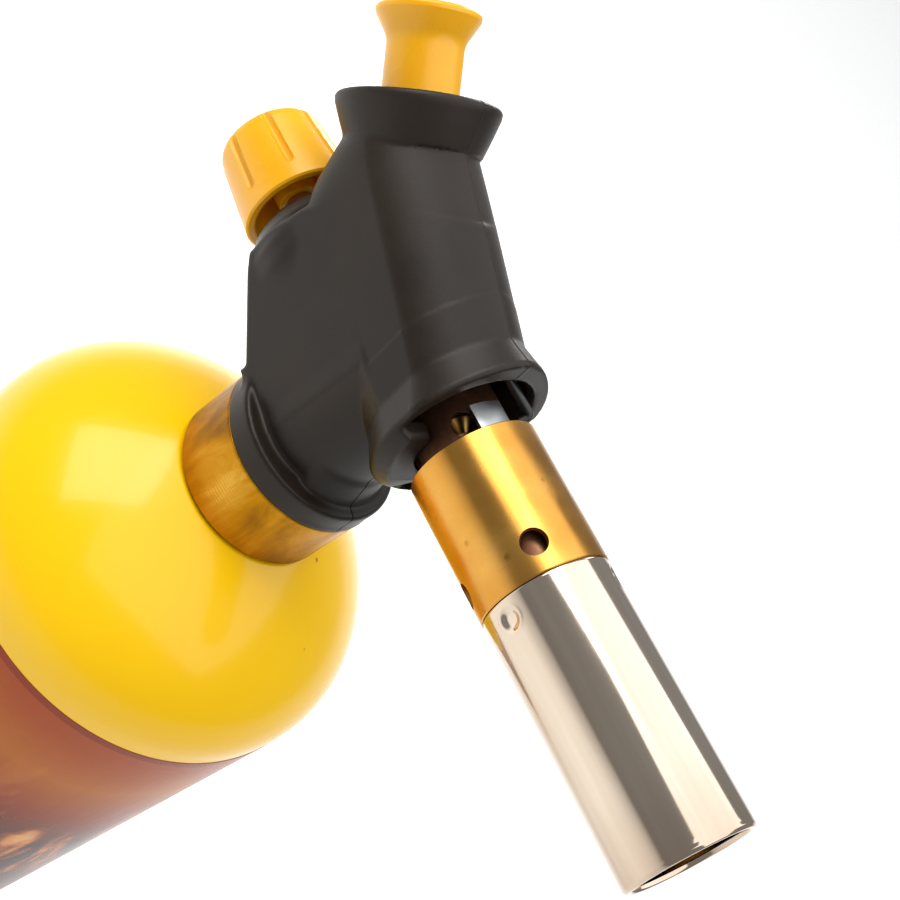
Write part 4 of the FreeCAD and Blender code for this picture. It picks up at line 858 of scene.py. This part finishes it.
def pierced_tube(name, place, outer, inner, length, holes, columns=240, block=20, rows=(34, 5), lip=0.15):
    """Tube as an outer and an inner grid. Round each hole a square block of cells is left out and
    filled by rings that pass from the circle to the square, and the hole's wall joins the two."""
    radius, station, first, number = holes
    pitch = math.tau / columns
    half = block // 2 * pitch * outer
    reach = block // 2
    low_rows = np.linspace(lip, station - half, rows[0])
    mid_rows = np.linspace(station - half, station + half, block + 1)[1:]
    top_rows = np.linspace(station + half, length - lip, rows[1])[1:]
    levels = np.concatenate([low_rows, mid_rows, top_rows])
    first_row = rows[0] - 1
    angles = first + np.arange(columns) * pitch
    points, faces = [], []
    offset = 0
    turn = np.arange(4 * block)
    k, side = turn % block, turn // block
    square = np.stack([np.choose(side, [k, np.full_like(k, block), block - k, np.zeros_like(k)]),
                       np.choose(side, [np.zeros_like(k), k, np.full_like(k, block), block - k])], 1)
    flat = (square - reach) / reach
    circle = flat / np.linalg.norm(flat, axis=1, keepdims=True) * radius / half
    rims = []
    for r, sense in ((outer, 1), (inner, -1)):
        grid_a, grid_s = np.meshgrid(angles, levels, indexing="xy")
        grid = np.stack([r * np.cos(grid_a), r * np.sin(grid_a), grid_s], -1).reshape(-1, 3)
        points.append(grid)
        quads = ring_faces(len(levels), columns)
        keep = np.ones((len(levels) - 1, columns), bool)
        for hole in range(number):
            start = hole * columns // number - reach
            cells = (start + np.arange(block)) % columns
            keep[first_row:first_row + block, cells] = False
        faces.append((quads[keep.ravel()] + offset)[:, ::sense])
        base = offset
        offset += len(grid)
        shells = np.array([0.0, 0.06, 0.18, 0.38, 0.66])
        for hole in range(number):
            start = hole * columns // number - reach
            edge = base + (first_row + square[:, 1]) * columns + (start + square[:, 0]) % columns
            rings = circle[None] * (1 - shells[:, None, None]) + flat[None] * shells[:, None, None]
            a = first + hole * math.tau / number + rings[..., 0] * half / outer
            s = station + rings[..., 1] * half
            points.append(np.stack([r * np.cos(a), r * np.sin(a), s], -1).reshape(-1, 3))
            ids = offset + np.arange(len(shells) * 4 * block).reshape(len(shells), -1)
            ids = np.vstack([ids, edge])
            after = np.roll(ids, -1, axis=1)
            patch = np.stack([ids[:-1], after[:-1], after[1:], ids[1:]], -1).reshape(-1, 4)
            faces.append(patch[:, ::-sense])
            rims.append(ids[0])
            offset += len(shells) * 4 * block
    for hole in range(number):
        near, far = rims[hole], rims[number + hole]
        faces.append(np.stack([near, far, np.roll(far, -1), np.roll(near, -1)], -1))
    rows_all = len(levels)
    step = base
    for level, sense, s in ((0, 1, 0.0), (rows_all - 1, -1, length)):
        ring_out = np.arange(columns) + level * columns
        ring_in = ring_out + step
        edge_points = [np.stack([r * np.cos(angles), r * np.sin(angles), np.full(columns, s)], -1)
                       for r in (outer - lip, inner + lip * 0.7)]
        points += edge_points
        mid_out = offset + np.arange(columns)
        mid_in = mid_out + columns
        offset += 2 * columns
        for a, b in ((ring_out, mid_out), (mid_out, mid_in), (mid_in, ring_in)):
            faces.append(np.stack([a, b, np.roll(b, -1), np.roll(a, -1)], -1)[:, ::sense])
    thing = mesh_object(name, place.world(np.concatenate(points)), np.concatenate(faces), 40.0)
    close_mesh(thing)
    thing.data.set_sharp_from_angle(angle=math.radians(40.0))
    return thing


sleeve = pierced_tube("burner_sleeve_tube", burner_place, SLEEVE_R, SLEEVE_BORE, SLEEVE_L,
                      (AIR_R, AIR_STATION, burner_angle(AIR_ANGLE), 4))


def burner_axes(material):
    """Burner's own coordinates for a material: metres across, across and along its axis."""
    mapped = add(material, "Mapping", {
        "Vector": object_place(material),
        "Location": tuple(-burner_place.origin * MM)}, vector_type="POINT").outputs[0]
    turned = add(material, "VectorRotate", {"Vector": mapped, "Axis": (0, 1, 0),
                                            "Angle": -math.radians(90 - 8.74)}, rotation_type="AXIS_ANGLE")
    return turned.outputs[0]


polished = new_material("polished_brass")
along = burner_axes(polished)
haze = add(polished, "TexNoise", {"Vector": along, "Scale": 120.0, "Detail": 5.0}).outputs["Fac"]
drawn = add(polished, "TexNoise", {"Vector": add(polished, "Mapping", {
    "Vector": along, "Scale": (1.0, 1.0, 0.02)}).outputs[0], "Scale": 900.0, "Detail": 3.0}).outputs["Fac"]
spot = add(polished, "TexVoronoi", {"Vector": along, "Scale": 190.0}, feature="F1").outputs["Distance"]
tarnish = ramp(polished, spot, [(0.05, 1.0), (0.12, 0.0)])
tarnish = add(polished, "Math", {0: tarnish, 1: ramp(polished, haze, [(0.52, 0.0), (0.62, 0.7)])},
              operation="MULTIPLY").outputs[0]
brass_tone = ramp(polished, haze, [(0.3, "#c58a3a"), (0.7, "#d6a04e")])
brass_tone = add(polished, "Mix", {0: tarnish, 6: brass_tone, 7: colour("#8a5a22")},
                 data_type="RGBA").outputs[2]
polished_shader = add(polished, "BsdfPrincipled", {
    "Base Color": brass_tone, "Metallic": 1.0,
    "Roughness": ramp(polished, haze, [(0.3, 0.20), (0.7, 0.30)]), "Anisotropic": 0.4,
    "Normal": add(polished, "Bump", {"Height": drawn, "Strength": 0.05,
                                     "Distance": 0.00005}).outputs["Normal"]})
finish_material(polished, polished_shader)
join_mount(sleeve, "torch_head", "polished_brass", polished, "burner_sleeve")

# ---------------------------------------------------------------- flame tube
# Bright drawn stainless tube, punched on to its holder by three dimples, with a rolled mouth. Flame
# and handling leave a faint straw and brown temper tint at the mouth.

FLAME_R = 9.65
FLAME_LOW = 22.37
FLAME_TOP = 62.05
DIMPLE_S = 25.2
DIMPLE_R = 1.85
flame_profile = np.vstack([
    [(9.05, FLAME_LOW), (FLAME_R - 0.15, FLAME_LOW), (FLAME_R, FLAME_LOW + 0.15)],
    np.stack([np.full(34, FLAME_R), np.linspace(FLAME_LOW + 0.35, 29.0, 34)], 1),
    np.stack([np.full(16, FLAME_R), np.linspace(30.0, FLAME_TOP - 1.6, 16)], 1),
    rounded([(FLAME_R, FLAME_TOP - 1.4), (FLAME_R - 0.02, FLAME_TOP - 1.0, 0.3),
             (FLAME_R, FLAME_TOP - 0.5, 0.3), (FLAME_R - 0.35, FLAME_TOP, 0.3),
             (FLAME_R - 1.1, FLAME_TOP, 0.35), (FLAME_R - 1.2, FLAME_TOP - 0.8, 0.3),
             (9.05, FLAME_TOP - 1.4, 0.2), (9.05, FLAME_TOP - 2.0)], 6),
    np.stack([np.full(16, 9.05), np.linspace(FLAME_TOP - 3.0, 30.0, 16)], 1),
    np.stack([np.full(34, 9.05), np.linspace(29.0, FLAME_LOW + 0.35, 34)], 1)])


def dimpled(r, a, s):
    """Each dimple: depth falls from 0.62 mm in the middle third to nothing at its rim by a smooth step,
    with a raised edge of 0.05 mm round it."""
    result = r.copy()
    for index in range(3):
        centre = burner_angle(93.4 + 120 * index)
        aside = ((a - centre + math.pi) % math.tau - math.pi) * FLAME_R
        away = np.hypot(aside, s - DIMPLE_S)
        share = np.clip((DIMPLE_R - away) / (0.62 * DIMPLE_R), 0, 1)
        deep = 0.62 * share * share * (3 - 2 * share)
        edge = 0.05 * np.exp(-((away - DIMPLE_R - 0.1) / 0.16) ** 2)
        result = result - deep + np.where(r > 9.3, edge, 0.0)
    return result


flame = lathe("flame_tube_bright", flame_profile, burner_place, 320, closed=True, change=dimpled,
              smooth_angle=50.0)
steel = new_material("bright_steel")
along = burner_axes(steel)
axes = add(steel, "SeparateXYZ", {"Vector": along})
streak = add(steel, "Mapping", {"Vector": along, "Scale": (1.0, 1.0, 0.04)}).outputs[0]
lines = add(steel, "TexNoise", {"Vector": streak, "Scale": 260.0, "Detail": 4.0}).outputs["Fac"]
cloud = add(steel, "TexNoise", {"Vector": along, "Scale": 60.0, "Detail": 4.0}).outputs["Fac"]
temper = ramp(steel, lines, [(0.3, "#c4b29f"), (0.7, "#dccdbb")])
mouth_heat = add(steel, "MapRange", {"Value": axes.outputs["Z"], "From Min": 0.050,
                                     "From Max": 0.0622}).outputs[0]
heat = add(steel, "Math", {0: mouth_heat, 1: cloud}, operation="MULTIPLY").outputs[0]
tint = ramp(steel, heat, [(0.0, 0.0), (0.7, 0.45)])
temper = add(steel, "Mix", {0: tint, 6: temper, 7: colour("#a58468")}, data_type="RGBA").outputs[2]
steel_shader = add(steel, "BsdfPrincipled", {
    "Base Color": temper, "Metallic": 1.0, "Roughness": ramp(steel, cloud, [(0.3, 0.07), (0.7, 0.12)]),
    "Normal": add(steel, "Bump", {"Height": lines, "Strength": 0.03, "Distance": 0.00004}).outputs["Normal"]})
finish_material(steel, steel_shader)
join_mount(flame, "torch_head", "bright_steel", steel, "flame_tube")

# ---------------------------------------------------------------- burner and igniter works
# Parts seen through the bell, the air holes and the mouth keep their CAD shapes.

heat_brown = new_material("heat_brown_brass")
sootiness = add(heat_brown, "TexNoise", {"Vector": object_place(heat_brown), "Scale": 240.0, "Detail": 5.0})
heat_shader = add(heat_brown, "BsdfPrincipled", {
    "Base Color": ramp(heat_brown, sootiness.outputs["Fac"],
                       [(0.3, "#3a2319"), (0.55, "#6b4632"), (0.75, "#8f6a4c")]),
    "Metallic": 0.85, "Roughness": ramp(heat_brown, sootiness.outputs["Fac"], [(0.3, 0.5), (0.7, 0.32)])})
finish_material(heat_brown, heat_shader)
finish_node(heat_brown, "mixer_tube")
finish_node(zinc, "ground_tab", "piezo_anvil")
finish_node(spring_wire, "electrode", "hammer_spring", "button_spring", "piezo_hammer")

alumina = new_material("alumina")
fleck = add(alumina, "TexNoise", {"Vector": object_place(alumina), "Scale": 700.0,
                                  "Detail": 4.0}).outputs["Fac"]
alumina_shader = add(alumina, "BsdfPrincipled", {
    "Base Color": ramp(alumina, fleck, [(0.3, "#dcd6c8"), (0.7, "#efebe1")]), "Roughness": 0.42, "IOR": 1.76})
finish_material(alumina, alumina_shader)
finish_node(alumina, "electrode_insulator", "piezo_crystal")

case_plastic = new_material("black_plastic")
fleck = add(case_plastic, "TexNoise", {"Vector": object_place(case_plastic), "Scale": 1200.0,
                                       "Detail": 3.0}).outputs["Fac"]
case_shader = add(case_plastic, "BsdfPrincipled", {
    "Base Color": ramp(case_plastic, fleck, [(0.3, "#141416"), (0.7, "#222224")]),
    "Roughness": 0.4, "IOR": 1.5})
finish_material(case_plastic, case_shader)
finish_node(case_plastic, "piezo_case")

insulation = new_material("lead_insulation")
fleck = add(insulation, "TexNoise", {"Vector": object_place(insulation), "Scale": 900.0,
                                     "Detail": 3.0}).outputs["Fac"]
insulation_shader = add(insulation, "BsdfPrincipled", {
    "Base Color": ramp(insulation, fleck, [(0.3, "#161616"), (0.7, "#262524")]),
    "Roughness": 0.35, "IOR": 1.5})
finish_material(insulation, insulation_shader)
finish_node(insulation, "ignition_lead")
